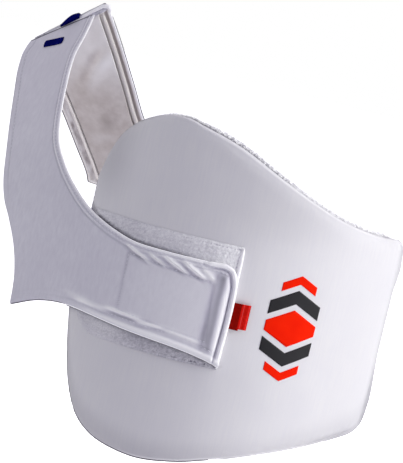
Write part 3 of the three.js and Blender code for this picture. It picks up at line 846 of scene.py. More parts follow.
def pad_painted_light(across, up, depth):
    """Painted light and shade: a highlight on the taut lip and below the middle, and shade in the seam's
    recess, on the turned edges, above the middle, at the upper left, low down and along the yoke's edges.
    """
    edge = cover_edge(across, up)
    stitched = 0.8 + rough(across, up, 2, 0.6, 6)
    ends = 1 - step_up(across, 20, 60) * (1 - step_up(across, PAD_WIDTH - 30, PAD_WIDTH - 12))
    # Painted shade where the seam to the towelling draws in behind the lip.
    seam = step_up(depth, 0.3, 0.7) * (1 - step_up(edge, 0.5, 2)) * stitched * (1 - 0.75 * ends)
    end = 0.65 * step_up(across, 170, 225) + 0.35 * step_up(across, PAD_WIDTH - 60, PAD_WIDTH - 25)
    lip = 0.6 * bell(edge - 0.8, 0.7) * (1 - depth) * step_up(across, 60, 110) * (1 - end)
    lip -= 0.3 * (1 - step_up(across, 10, 45)) * step_up(up, 180, 225)
    # Painted shade on the edges that turn away from the light, and the yoke's painted shadow.
    low_end = step_up(across, 215, 255) * (1 - step_up(up, 60, 110))
    turned = 0.07 * step_up(across, 215, 270) + 0.22 * step_up(across, PAD_WIDTH - 8, PAD_WIDTH + 1)
    turned += 0.2 * (1 - step_up(edge, 0.5, 7)) * low_end
    lip -= turned + yoke_edge_shadow(across, up)
    # Painted light below the middle and painted shade above it, and painted shade low down on the pad.
    middle, upper = bell(across - 165, 45), step_up(up, 165, 215)
    lip += middle * mix(0.12, -0.12, upper)
    above_low = up - edge_height("bottom", clamp(across / PAD_WIDTH, 0, 1))
    below = mix(0.24, 0.14, step_up(across, 140, 200)) * (1 - step_up(above_low, 4, 26))
    return lip - seam - below


pad_mesh = slab((170, 150), pad_flat, pad_solid, 4, pad_painted_light)
pad_cover = finished("pad_cover", pad_mesh, cover_cloth, "pad_cover", "pad_body")


SEAM_RADIUS = 0.6


def cover_seam(places):
    """Points along the overlocked seam round the cover's edge."""
    points = []
    for p in places:
        out = p + (p - pad_middle).normalized() * SEAM_RADIUS
        points.append(on_cylinder(out.x, out.y, mix(pad_face(p.x, p.y), PAD_INNER + SEAM_TUCK, 0.15)))
    return points


# The cover's seam is grey overlock as painted shade on the shaded edges, paler grey at the lit far end.
roll("cover_seam_low", cover_seam(cover_low[100:] + cover_start), SEAM_RADIUS, shaded_overlock, "pad_cover")
end_places = cover_top[190:] + cover_end + cover_low[:30]
roll("cover_seam_end", cover_seam(end_places), SEAM_RADIUS, lit_side_overlock, "pad_cover")


# Towelling: looped cloth behind the pad, standing out past the cover's edge
def towel_flat(u, v):
    share = dense_ends(u, 0.3)
    across = mix(-TOWEL_OVERHANG, PAD_WIDTH + TOWEL_OVERHANG, share)
    low = edge_height("bottom", share) - towel_overhang(share, "bottom")
    high = edge_height("top", share) + towel_overhang(share, "top")
    return across, mix(low, high, dense_ends(v, 0.3))


def towel_solid(across, up, depth):
    loops = rough(across, up, 1.5, 0.55, 1) + rough(across, up, 5, 0.5, 9)
    radius = PAD_INNER - GAP - TOWEL_THICKNESS * depth - loops * step_up(depth, 0.3, 1.0)
    return on_cylinder(across, up, radius)


towel_mesh = slab((170, 150), towel_flat, towel_solid, 3)
towel = finished("towelling", towel_mesh, towel_cloth, "towelling", "towel_backing")


# Fastening patches on the pad's face
LOOP_WIDTH = 128
LOOP_HEIGHT = 99
LOOP_CORNER = 26
LOOP_START = BAND_REACH - LOOP_WIDTH - GAP
LOOP_BOTTOM = BAND_BOTTOM - 14.5
LOOP_SEAM_INSET = 2.6
HOOK_LENGTH = 70
HOOK_WIDTH = 44
HOOK_START = BAND_REACH - 16.5 - HOOK_LENGTH
HOOK_BOTTOM = BAND_BOTTOM + 9.5


def loop_low(s):
    """The loop patch's lower edge, with its rounded corner."""
    inside = clamp(1 - s / LOOP_CORNER, 0, 1)
    return LOOP_BOTTOM + LOOP_CORNER * (1 - math.sqrt(1 - inside**2))


def loop_flat(u, v):
    s = dense_ends(u, 0.3) * LOOP_WIDTH
    return LOOP_START + s, mix(loop_low(s), LOOP_BOTTOM + LOOP_HEIGHT, dense_ends(v, 0.3))


loop_outline = [flat_point(*loop_flat(k / 40, 0)) for k in range(41)]
loop_outline += [flat_point(*loop_flat(1 - k / 40, 1)) for k in range(41)]
loop_outline.append(loop_outline[0])
loop_edge = near_line(loop_outline)


def loop_solid(across, up, depth):
    edge = loop_edge(across, up)
    pile = rough(across, up, 0.9, 0.45, 2) + rough(across, up, 2.6, 0.3, 4)
    sewn = -0.5 * bell(edge - LOOP_SEAM_INSET, 0.7) * step_up(across, LOOP_START + 70, LOOP_START + 120)
    full = PATCH_THICKNESS * mix(0.05, 1, step_up(edge, 0, 4))
    lift = LOOP_LIFT + full * (1 - depth) + (pile + sewn) * (1 - depth)
    return on_cylinder(across, up, PAD_RADIUS - crown(across, up) + lift)


def loop_tone(across, up, depth):
    """Stippled: the pile's tips are whiter than its roots, and the seam's far half has dark needle holes.
    Painted light on its upper and far part, painted shade low down and painted shadow along the yoke's edges.
    """
    pile = rough(across, up, 1.1, layer=2) + rough(across, up, 2.6, 0.6, 4)
    sewn = bell(loop_edge(across, up) - LOOP_SEAM_INSET, 0.8)
    sewn *= step_up(across, LOOP_START + 60, LOOP_START + 110)
    holes = step_up(rough(across, up, 1.6, layer=8), 0, 0.3)
    # Painted light above the band's lower edge and towards the far end, painted shade below it.
    upper = step_up(up, BAND_BOTTOM - 4, BAND_BOTTOM + 12)
    far = step_up(across, LOOP_START + 20, LOOP_START + 70)
    bright = 0.2 + 0.4 * step_up(across, LOOP_START + 40, LOOP_START + 120)
    bright += 0.3 * step_up(across, LOOP_START + 100, LOOP_START + 122)
    plain = mix(mix(0.04, -0.17, far), bright, upper)
    return mix(0.2, 0.46, max(far, upper)) * pile + plain - 1.1 * sewn * holes - yoke_edge_shadow(across, up)


loop_mesh = slab((160, 124), loop_flat, loop_solid, 2, loop_tone)
loop_patch = finished("loop_pile", loop_mesh, loop_cloth, "loop_pile", "loop_patch")

SELVEDGE_RADIUS = 1.6
SELVEDGE_STEPS = 40
loop_rim = [LOOP_BOTTOM + mix(1, LOOP_HEIGHT - 1, k / SELVEDGE_STEPS) for k in range(SELVEDGE_STEPS + 1)]
loop_rim = [on_cylinder(LOOP_START + LOOP_WIDTH - 0.4, up, PAD_RADIUS + LOOP_LIFT + 0.8) for up in loop_rim]
roll("loop_selvedge", loop_rim, SELVEDGE_RADIUS, hem_cloth, "loop_pile")


def hook_flat(u, v):
    return HOOK_START + u * HOOK_LENGTH, HOOK_BOTTOM + v * HOOK_WIDTH


def hook_solid(across, up, depth):
    return on_cylinder(across, up, PAD_RADIUS + HOOK_LIFT + PATCH_THICKNESS * (1 - depth))


hook_mesh = slab((40, 24), hook_flat, hook_solid)
hook_patch = finished("hook_tape", hook_mesh, hook_cloth, "hook_tape", "hook_patch")


# Yoke front: one bent strip of knit cloth with turned hems. First the middle line of the thick rim round its
# end, across and up.
END_RIM = (
    (112.0, 166.1),
    (120.0, 166.4),
    (126.3, 166.6),
    (132.0, 164.0),
    (135.7, 156.2),
    (136.9, 143.0),
    (137.0, 130.0),
    (136.3, 110.0),
    (135.3, 91.0),
)
end_rim = [flat_point(*p) for p in END_RIM]
end_rim = [smooth_point(end_rim, k / 90) for k in range(91)]
end_rim_line = near_line(end_rim, 0.2)

# Stitched outline of the hook patch, in cloth places
PATCH_CORNERS = ((51.3, 112.8), (50.7, 158.2), (119.4, 151.9), (124.3, 105.3), (51.3, 112.8))
patch_line = [flat_point(*p) for p in PATCH_CORNERS]
patch_seam = near_line(patch_line, 0.2)

# Soft folds of the front: start across and up, end across and up, width and height in mm
FRONT_FOLDS = (
    (48.5, 164.1, 67.7, 156.4, 1.25, 1.6),
    (67.8, 161.8, 80.6, 156.6, 1.15, 1.4),
    (80.4, 162.9, 97.8, 155.5, 1.5, 1.9),
    (96.3, 162.4, 112.7, 154.0, 1.6, 2.0),
    (110.1, 161.3, 120.9, 153.2, 2.2, 0.8),
    (2.0, 112.0, 26.0, 111.0, 2.6, 0.4),
    (14.0, 110.0, 44.0, 109.5, 2.2, 0.9),
    (44.0, 111.6, 71.0, 110.3, 1.7, 1.4),
    (68.0, 107.4, 89.0, 108.4, 1.6, 1.0),
    (92.0, 107.8, 120.0, 103.2, 2.4, 0.7),
)


# Relief of the front, as distances in mm from its edges
TOP_SEAMS = (5.4, 2.4)
TOP_RIDGE = 3.9
ARM_SEAM = 6.5
LOW_SEAM = 8.6
LOW_HEM = 5.2
END_PUFF = 9.8
END_PUFF_HALF = 5.6
END_VALLEY = 16.5
RIM_GROOVE = 3.0


def folds_at(table, across, up):
    """Height of the soft folds in a table at a place: each is a ridge with a hollow on its lower side."""
    total = 0.0
    for x0, y0, x1, y1, width, height in table:
        dx, dy = x1 - x0, y1 - y0
        t = ((across - x0) * dx + (up - y0) * dy) / (dx * dx + dy * dy)
        if -0.4 < t < 1.4:
            beside = ((across - x0) * dy - (up - y0) * dx) / math.hypot(dx, dy)
            if abs(beside) < 5 * width:
                ends = step_up(t, -0.25, 0.25) * (1 - step_up(t, 0.75, 1.25))
                total += height * ends * (bell(beside, width) - 0.55 * bell(beside - 1.9 * width, width))
    return total


@lru_cache(maxsize=None)
def front_relief(across, up):
    """How far the front's outer face stands out past its plain surface, and its painted light and shade
    there.
    """
    low, top = front_low_edge(across, up), front_top_edge(across, up)
    arm, end = front_arm_edge(across, up), front_end_edge(across, up)
    on_pad = step_up(across, -10, 30)
    folds = folds_at(FRONT_FOLDS, across, up)
    seams = bell(top - TOP_SEAMS[0], 0.8) + 0.8 * bell(top - TOP_SEAMS[1], 0.6)
    seams += 0.8 * bell(arm - ARM_SEAM, 0.8) * step_up(up, 150, 200)
    seams += 0.7 * bell(low - LOW_SEAM, 0.9) * mix(0.1, 1, on_pad)
    patch = bell(patch_seam(across, up), 0.9) * (1 - 0.7 * step_up(across, 112, 120))
    away = step_up(top, 3, 9) * step_up(low, 2, 10)
    puff = clamp(1 - ((end - END_PUFF) / END_PUFF_HALF) ** 2, 0, 1) * away
    valley = bell(end - END_VALLEY, 3.2) * away
    groove = bell(end_rim_line(across, up) - RIM_GROOVE, 0.9)
    groove *= step_up(end, 2.6, 3.6) * step_up(across, 100, 122)
    hem = math.sin(math.pi * clamp(low / LOW_HEM, 0, 1)) * mix(0.35, 1, on_pad)
    ridge = bell(top - TOP_RIDGE, 0.9) * (1 - on_pad)

    raised = rough(across, up, 45, 0.8) + rough(across, up, 16, 0.2, 7)
    raised += folds + 1.2 * hem + 1.8 * puff + 0.4 * ridge
    raised -= 0.5 * seams + 0.55 * patch + 0.7 * valley + 1.6 * groove

    # Painted highlights on fold ridges, hems, rims and the band's far part; painted shade in hollows, seams
    # and grooves.
    pale = 0.5 * min(folds, 0) + 0.9 * max(folds, 0) + 0.8 * hem * on_pad + 0.5 * ridge
    pale += mix(0.35, 0.6, on_pad) * (1 - step_up(top, 0.5, 1.5)) + 0.45 * step_up(across, 10, 110)
    pale += (0.55 * bell(end - 6.4, 1.5) - 0.75 * bell(end - 11.2, 2.7)) * away
    pale -= 0.28 * seams + 0.4 * patch + 0.35 * bell(top - 7, 5) * bell(end - 9, 7)
    pale -= mix(0.95, 0.3, step_up(up, 138, 152)) * groove + valley * mix(0.7, 0.3, step_up(up, 110, 150))
    return raised, pale


# The front's painted light and shade, on its outer face.
def front_painted_light(across, up, depth):
    return front_relief(across, up)[1] * (1 - depth)


@lru_cache(maxsize=None)
def edge_of_front(across, up):
    return min(edge(across, up) for edge in (front_low_edge, front_top_edge, front_arm_edge, front_end_edge))


def mitred(normal, fold_gap):
    """The way a cloth's faces part from its middle: along the normal, but straight up at the fold."""
    share = 1 - step_up(fold_gap, 0, 4)
    return normal.lerp(Vector((0, 0, 1 / max(normal.z, 0.3))), share)


def fold_gap_at(p):
    return fold_height(p.x) - p.z


def front_point(across, up, depth):
    p = front_surface(across, up)
    normal = normal_at(front_surface, across, up)
    gap = fold_gap_at(p)
    near_fold = step_up(gap, 0, 6)
    half = mix(CLOTH / 2, cloth_thickness(edge_of_front(across, up), CLOTH), near_fold)
    raised = front_relief(across, up)[0] * near_fold
    lift = mix(half + raised, -half + min(raised, 0) * 0.3, depth)
    p = p + mitred(normal, gap) * lift
    p.y = min(p.y, FOLD_DEPTH - GAP / 2)
    return p


# Row where the band begins, and the share of the mesh's steps that lie on it
BAND_ROW = 9.5
BAND_STEPS_SHARE = 0.64


def front_row(u):
    """Row of the yoke's tables at a share of the mesh's steps."""
    arm_steps = 1 - BAND_STEPS_SHARE
    if u < arm_steps:
        return u / arm_steps * BAND_ROW
    return mix(BAND_ROW, FRONT_LAST, (u - arm_steps) / BAND_STEPS_SHARE)


def front_flat(u, v):
    out, inn = front_edges(front_row(u))
    p = out.lerp(inn, dense_ends(v, 0.5))
    return p.x, p.y


front_mesh = slab((430, 104), front_flat, front_point, 2, front_painted_light)
front = finished("yoke_front", front_mesh, yoke_cloth, "yoke_fabric", "front_panel")


def front_skin(across, up):
    return front_point(across, up, 0), normal_at(front_surface, across, up)


def front_line(side, first, last, steps, drop=0, depth=0.5):
    """Points in the front's cloth along an edge, from row to row, moved down and to a depth in the cloth."""
    return [front_point(p.x, p.y - drop, depth) for p in edge_points(front_edges, side, first, last, steps)]


# Rolled rims of the front. The grey overlock rolls along the arm's edge, just under its lower edge and just
# over its upper edge are painted shade and painted shadow lines. The band is free of the arm from FREE_ROWS
# on.
FREE_ROWS = CORNER_ROW + 1.96
roll("yoke_front_rim", front_line(1, 0.05, FRONT_LAST - 3.2, 200), 0.65, hem_cloth, growth=1.5)
roll("yoke_end_rim", [front_point(p.x, p.y, 0.3) for p in end_rim], 1.75, hem_cloth)
roll("yoke_low_rim", front_line(0, FREE_ROWS, FRONT_LAST, 120), 1.0, hem_cloth)
roll("yoke_arm_rim", front_line(0, 0.15, FREE_ROWS, 260), 0.75, shaded_overlock)
roll("yoke_low_shadow_line", front_line(0, FREE_ROWS, FRONT_LAST - 0.3, 160, 1.2, 0.9), 0.5, shaded_overlock)
roll("yoke_top_shadow_line", front_line(1, 8.6, 13.4, 120, -1.1, 0.9), 0.5, shaded_overlock, growth=0.3)

# Stitch rows of the front: edge, first row, last row and inset in mm
STITCH_ROWS = (
    (1, 0.1, FRONT_LAST - 1, 5.0),
    (1, 0.1, FRONT_LAST - 1, 2.6),
    (0, 0.3, 5, 6.5),
    (0, CORNER_ROW + 2.4, FRONT_LAST - 0.4, 8.4),
)
stitches = []
for row in STITCH_ROWS:
    stitches += stitch_row(front_skin, inset_line(front_edges, *row))
stitches += stitch_row(front_skin, patch_line[3:] + patch_line[1:3])
scatter("yoke_front_stitches", stitches, thread, "yoke_fabric")


# Yoke back: the same cloth from the fold down and round to the pad, lined inside
back_low_edge = near_line(edge_points(back_edges, 0, 0, BACK_LAST, 260), 0.2)
back_top_edge = near_line(edge_points(back_edges, 1, 0, BACK_LAST, 260), 0.2)
back_end_edge = near_line([back_outer[-1], back_inner[-1]], 0.2)

# Soft folds of the back, as those of the front
BACK_FOLDS = (
    (-134.0, 262.0, -116.0, 296.0, 4.5, -1.4),
    (-124.0, 283.0, -104.0, 305.0, 4.0, -0.9),
    (-128.0, 214.0, -108.0, 222.0, 5.0, 1.1),
    (-122.0, 200.0, -90.0, 214.0, 7.0, 0.8),
    (-60.0, 215.0, -30.0, 190.0, 9.0, 1.3),
    (40.0, 150.0, 90.0, 120.0, 10.0, 1.2),
)
BACK_CORNER_ROUNDING = 5.5
back_corner_along = (back_outer[0] - back_inner[0]).normalized()
back_corner_down = (back_inner[1] - back_inner[0]).normalized()


def rounded_corner(p):
    """Draws cloth places in at the top inner corner of the back, to round it."""
    q = p - back_inner[0]
    cross = back_corner_along.x * back_corner_down.y - back_corner_along.y * back_corner_down.x
    along = (q.x * back_corner_down.y - q.y * back_corner_down.x) / cross
    down = (back_corner_along.x * q.y - back_corner_along.y * q.x) / cross
    to_along, to_down = BACK_CORNER_ROUNDING - along, BACK_CORNER_ROUNDING - down
    if to_along <= 0 or to_down <= 0:
        return p
    draw = max(to_along, to_down) / math.hypot(to_along, to_down)
    along, down = BACK_CORNER_ROUNDING - to_along * draw, BACK_CORNER_ROUNDING - to_down * draw
    return back_inner[0] + back_corner_along * along + back_corner_down * down


@lru_cache(maxsize=None)
def back_relief(across, up):
    """How far the back's outer face, its inner face and both stand out, and the inner face's painted light
    and shade.
    """
    low, top = back_low_edge(across, up), back_top_edge(across, up)
    soft = rough(across, up, 50, 1.0, 3) + rough(across, up, 15, 0.2, 8) + folds_at(BACK_FOLDS, across, up)
    wrinkle = rough(across, up / 2, 4.5, layer=5) + rough(across, up / 1.6, 2.5, 0.5, 2)
    on_low_hem = step_up(low, 1.2, 2.6) * (1 - step_up(low, 6.2, 7.6))
    on_top_groove = step_up(top, 1.6, 2.6) * (1 - step_up(top, 4.4, 5.4))
    # outer is also painted shade in the outer face's seam grooves.
    outer = -0.4 * bell(low - 8.0, 0.8) - 0.4 * bell(top - 7.0, 0.8)
    inner = 0.7 * wrinkle * on_low_hem - 0.9 * on_top_groove
    # Painted light and shade on the inner face: on the hem's wrinkles, darker in the groove and seam lines,
    # paler on the edges.
    pale = on_low_hem * (0.7 * wrinkle - 0.22) - 0.75 * on_top_groove + 0.7 * (1 - step_up(low, 1.0, 1.8))
    pale += 0.6 * (1 - step_up(top, 1.0, 1.8)) - 0.8 * bell(low - 10.0, 0.9) - 0.7 * bell(top - 9.5, 0.9)
    return outer, inner, soft, pale


# Painted light and shade of the back: outer face, then inner face.
def back_painted_light(across, up, depth):
    outer, _, _, pale = back_relief(across, up)
    return mix(outer, pale, depth)


def back_point(across, up, depth):
    """A point of the back at a depth, from 0 on its outer face to 1 on the face towards the wearer."""
    p = back_surface(across, up)
    normal = normal_at(back_surface, across, up)
    gap = fold_gap_at(p)
    near_fold = step_up(gap, 0, 6)
    edge = min(back_low_edge(across, up), back_top_edge(across, up), back_end_edge(across, up))
    half = mix(CLOTH / 2, cloth_thickness(edge, CLOTH), near_fold)
    outer, inner, soft, _ = back_relief(across, up)
    lift = mix(-half - outer * near_fold, half + inner * near_fold, depth) - soft * 0.6
    p = p + mitred(normal, gap) * lift
    p.y = max(p.y, FOLD_DEPTH + GAP / 2)
    return p


def back_flat(u, v):
    out, inn = back_edges(u * BACK_LAST)
    p = rounded_corner(out.lerp(inn, dense_ends(v, 0.5)))
    return p.x, p.y


back_mesh = slab((BACK_LAST * 26, 74), back_flat, back_point, 2, back_painted_light)
back = finished("yoke_back", back_mesh, yoke_cloth, "yoke_fabric", "back_panel", inner_finish=facing_cloth)

LINING_LIFT = GAP + 0.2
LINING_THICKNESS = 0.9
LINING_LOW_INSET = 10.8
LINING_TOP_INSET = 10.1
LINING_ROWS = (0.04, 10.6)


def lining_flat(u, v):
    out, inn = back_edges(mix(*LINING_ROWS, u))
    width = (inn - out).length
    p = out.lerp(inn, mix(LINING_LOW_INSET / width, 1 - LINING_TOP_INSET / width, v))
    return p.x, p.y


def lining_point(across, up, depth):
    normal = normal_at(back_surface, across, up)
    p = back_point(across, up, 1)
    soft = 0.6 * folds_at(BACK_FOLDS, across, up) + rough(across, up, 22, 0.5, 12)
    p = p + normal * (LINING_LIFT + (1 - depth) * LINING_THICKNESS + max(soft + 0.6, 0))
    p.y = max(p.y, FOLD_DEPTH + GAP)
    return p


# Darker spot on the lining: across, up and size
LINING_SPOT = (-113.5, 232.0, 7.0)


def lining_tone(across, up, depth):
    """Painted shade in the hollows of its folds and painted highlight on their ridges, darker at the spot,
    paler near the top.
    """
    spot = bell(math.hypot(across - LINING_SPOT[0], (up - LINING_SPOT[1]) / 1.3), LINING_SPOT[2])
    folds = folds_at(BACK_FOLDS, across, up) + rough(across, up, 14, 0.35, 20)
    return clamp(0.22 * folds, -0.4, 0.3) - 0.35 * spot + 0.58 * step_up(up, 248, 292)


lining_mesh = slab((200, 60), lining_flat, lining_point, 2, lining_tone)
lining = finished("lining", lining_mesh, lining_cloth, "lining", "back_lining")


def back_line(side, inset, first, last, lift, steps=200):
    """Points along the back at a distance inside an edge, lifted off its inner face."""
    points = []
    for p in inset_line(back_edges, side, first, last, inset, steps):
        normal = normal_at(back_surface, p.x, p.y)
        at = back_point(p.x, p.y, 1) + normal * lift
        at.y = max(at.y, FOLD_DEPTH + GAP)
        points.append(at)
    return points


# Rims and seams of the back: edge, inset, first and last row and lift off its inner face, radius and finish
BACK_ROLLS = (
    ("back_top_rim", (1, 0.2, 0.12, BACK_LAST, -0.6), 1.3, hem_cloth),
    ("back_low_rim", (0, 0.5, 0.1, BACK_LAST, -0.8), 1.0, cream_hem),
    ("back_low_seam", (0, -0.7, 0.3, BACK_LAST, -0.6), 0.45, shaded_overlock),
    ("back_top_binding", (1, 6.9, 0.12, 11, 0.0), 1.9, facing_cloth),
    ("back_low_binding", (0, 8.2, 0.3, 11, 0.2), 1.6, cream_hem),
)
# back_low_seam's grey overlock is a painted shade line along the back's low edge.
for name, line, radius, finish in BACK_ROLLS:
    roll(name, back_line(*line), radius, finish)

# Roll of cloth along the shoulder fold, which swells towards its inner end and turns down round the corner
FOLD_STEPS = 60
TURN_STEPS = 12
roll_corner_x = fold_outer.x + 0.985 * BACK_ARM_WIDTH * math.cos(slope)
fold_line = []
for k in range(FOLD_STEPS + 1):
    x = mix(fold_outer.x - 1, roll_corner_x - 3.5, k / FOLD_STEPS)
    lift = mix(0.3, 1.7, step_up(k / FOLD_STEPS, 0.4, 1))
    fold_line.append(Vector((x, FOLD_DEPTH + 0.6, fold_height(x) + lift)))
turn_start, turn_end = fold_line[-1], back_line(1, 0.2, 0.12, 0.35, -0.6, 8)[2]
turn_corner = Vector((roll_corner_x + 4.4, FOLD_DEPTH + 0.8, fold_height(roll_corner_x) + 1.8))
for k in range(1, TURN_STEPS + 1):
    t = k / TURN_STEPS
    fold_line.append(turn_start.lerp(turn_corner, t).lerp(turn_corner.lerp(turn_end, t), t))
fold_start, fold_end = front_edges(0)
fold_cut = [fold_start.lerp(fold_end, k / FOLD_STEPS) for k in range(FOLD_STEPS + 1)]
# Grey overlock rolls along the shoulder fold and the back's edge are painted shade lines.
roll("shoulder_seam", [front_point(p.x, p.y - 0.5, 0) for p in fold_cut], 0.45, shaded_overlock)
roll("back_edge_seam", back_line(1, -1.0, 0.3, BACK_LAST, -0.6), 0.45, shaded_overlock)
roll("shoulder_roll", fold_line, 0.9, hem_cloth, taper=0.5, growth=2.1)


# Small tabs
NAVY_LENGTH = 23
NAVY_WIDTH = 5.5
NAVY_THICKNESS = 1.1
NAVY_SLOPE = math.radians(19)
fold_out, fold_in = front_cut(0)
# Middle of the lower tab: a share along the fold, and from there across and down
navy_place = fold_out.lerp(fold_in, 0.455) + flat_point(2.1, -12.0)


def navy_flat(u, v):
    along, side = (u - 0.5) * NAVY_LENGTH, (v - 0.5) * NAVY_WIDTH
    along = along * (1 - 0.06 * (2 * v - 1) ** 2) + 0.2 * side
    across = navy_place.x + along * math.cos(NAVY_SLOPE) - side * math.sin(NAVY_SLOPE)
    return across, navy_place.y + along * math.sin(NAVY_SLOPE) + side * math.cos(NAVY_SLOPE)


def navy_point(across, up, depth):
    normal = normal_at(front_surface, across, up)
    dx, dy = across - navy_place.x, up - navy_place.y
    along = dx * math.cos(NAVY_SLOPE) + dy * math.sin(NAVY_SLOPE)
    side = dy * math.cos(NAVY_SLOPE) - dx * math.sin(NAVY_SLOPE)
    full = 1 - 0.5 * abs(2 * side / NAVY_WIDTH) ** 3 - 0.4 * abs(2 * along / NAVY_LENGTH) ** 8
    return front_point(across, up, 0) + normal * (GAP + NAVY_THICKNESS * full * (1 - depth))


finished("navy_tab_low", slab((40, 12), navy_flat, navy_point), navy_tape, "navy_tape", "navy_tab_front")

TOP_TAB_LENGTH = 19
TOP_TAB_REACH = 5.5
TOP_TAB_BEND = 1.25
TOP_TAB_RADIUS = 3.8
TOP_TAB_SWELL = 2.9
TOP_TAB_HOLLOW = 2.6
TOP_TAB_SINK = 0.4
top_tab_x = fold_outer.x + 31.3


def top_tab_flat(u, v):
    return (u - 0.5) * TOP_TAB_LENGTH, (v - 0.5) * 2 * TOP_TAB_REACH


def top_tab_point(along, reach, depth):
    """Tape bent over the fold like a saddle, flat for the most part and turned down at its sides."""
    x = top_tab_x + along * math.cos(slope)
    turn = reach / TOP_TAB_REACH * TOP_TAB_BEND
    arch = max(0, 1 - 1.9 * abs(along / TOP_TAB_LENGTH - 0.2) ** 1.5)
    radius = mix(TOP_TAB_RADIUS + TOP_TAB_SWELL * arch, TOP_TAB_HOLLOW, depth)
    rise = Vector((-math.sin(slope), 0, math.cos(slope))) * (radius * math.cos(turn) - TOP_TAB_SINK)
    return Vector((x, FOLD_DEPTH + radius * math.sin(turn), fold_height(x))) + rise


top_tab_mesh = slab((30, 16), top_tab_flat, top_tab_point)
finished("navy_tab_ridge", top_tab_mesh, navy_tape, "navy_tape", "navy_tab_top")

RED_BOTTOM = BAND_BOTTOM + 21
RED_START = BAND_REACH - 11
RED_WIDTH = 20
RED_LENGTH = 26
RED_OVER_LENGTH = 19.5
RED_THICKNESS = 1.0
RED_WAVE = 0.25


def red_tab(name, reach, level, tilt, *nodes):
    """One layer of the folded red tape, from under the yoke's end."""

    def flat(u, v):
        return RED_START + u * reach, RED_BOTTOM + v * RED_WIDTH + tilt * u

    def solid(across, up, depth):
        s = clamp((across - RED_START) / reach, 0, 1)
        rounded = 1 - 0.7 * step_up(s, 0.93, 1)
        lift = level + RED_THICKNESS * rounded * (1 - depth) + RED_WAVE * math.sin(3 * s)
        return on_cylinder(across, up, PAD_RADIUS + lift)

    def tone(across, up, depth):
        """Painted shade where the tape lies flat, painted highlights along its two bends."""
        s = (across - RED_START) / RED_LENGTH
        shine = 0.07 * bell(s - 0.79, 0.02) + 0.05 * bell(s - 0.95, 0.02)
        dark = 0.72 * (1 - step_up(s, 0.69, 0.78)) + 0.2 * bell(s - 0.87, 0.05) + 0.3 * bell(s - 0.99, 0.012)
        return shine - dark

    piece = finished(name, slab((72, 26), flat, solid, 2, tone), red_tape, "red_webbing", *nodes)


red_tab("red_tab_under", RED_LENGTH, HOOK_LIFT, 0.0, "red_tab")
red_tab("red_tab_over", RED_OVER_LENGTH, HOOK_LIFT + 1.25, -1.2)


# Print on the pad: a plain stack of arrowheads round a six-sided badge
PRINT_PLACE = (189, 127)
PRINT_SLANT = 0.5
FILM_LIFT = 0.1
FILM_THICKNESS = 0.16


def print_shape(name, finish, half_width, rows):
    """A film shape, alike on both sides. rows has rise, share of the half width and sag at the sides."""
    spans = len(rows) - 1

    def flat(u, v):
        k = min(int(v * spans), spans - 1)
        rise, width, sag = (mix(a, b, v * spans - k) for a, b in zip(rows[k], rows[k + 1]))
        beside = (2 * u - 1) * half_width * width
        return PRINT_PLACE[0] + beside, PRINT_PLACE[1] + rise - sag * abs(beside)

    def solid(across, up, depth):
        return on_cylinder(across, up, pad_face(across, up) + FILM_LIFT + FILM_THICKNESS * (1 - depth))

    return finished(name, slab((36, 12 * spans), flat, solid, 1), finish, "pad_cover")


print_shape("print_badge", red_film, 22, ((-15, 1, -PRINT_SLANT), (15, 1, PRINT_SLANT)))
for side, label in ((1, "upper"), (-1, "lower")):
    sag = side * PRINT_SLANT
    print_shape(f"print_dark_{label}", charcoal_film, 22, ((side * 20, 1, sag), (side * 31, 1, sag)))
    print_shape(f"print_light_{label}", red_film, 15, ((side * 36, 1, sag), (side * 43, 1, sag)))


# Fringe of loops that shows along the towelling's edge
FRINGE_STEPS = 700
FRINGE_END_LOOPS = 150
FRINGE_THICKNESS = 1.2


def random_way(lowest=-1):
    """A way for a loop to lie in. Its rise is no less than the lowest."""
    return Vector((random.uniform(-1, 1), random.uniform(-1, 1), random.uniform(lowest, 1)))


def fringe_loop(place, along, facing, longest):
    length = random.uniform(1.8, longest)
    return lump_matrix(place, along, facing, length, FRINGE_THICKNESS, FRINGE_THICKNESS)


def fringe():
    lumps = []
    for edge, sign in (("top", 1), ("bottom", -1)):
        for k in range(FRINGE_STEPS):
            share = (k + random.random()) / FRINGE_STEPS
            shown = max(table_value(SEWN_EDGES[edge], share, 2) - 0.7, 0.3)
            out = towel_overhang(share, edge) + 0.2 - random.uniform(0, shown)
            up = edge_height(edge, share) + sign * out
            place = on_cylinder(share * PAD_WIDTH, up, PAD_INNER + random.uniform(-0.9, 0.4))
            along = random_way(-0.6)
            facing = Vector((random.uniform(-1, 1), -1, random.uniform(-1, 1)))
            lumps.append(fringe_loop(place, along, facing, 3.2))
    for side in (0, 1):
        low, high = edge_height("bottom", side), edge_height("top", side)
        for _ in range(FRINGE_END_LOOPS):
            across = side * PAD_WIDTH + (1 if side else -1) * random.uniform(0.4, 2.0)
            up = random.uniform(low, high)
            place = on_cylinder(across, up, PAD_INNER - random.uniform(0.2, TOWEL_THICKNESS))
            lumps.append(fringe_loop(place, random_way(), Vector((0.3, -1, 0.2)), 3.0))
    # The loops' glow is painted light that whitens them.
    return scatter("towelling_fringe", lumps, loose_loops, "towelling")


fringe_piece = fringe()

# Stage: pale floor below the part, which is held up by its shoulder fold, and soft light from its left side
FLOOR_SIZE = 6
FLOOR_DROP = 0.1


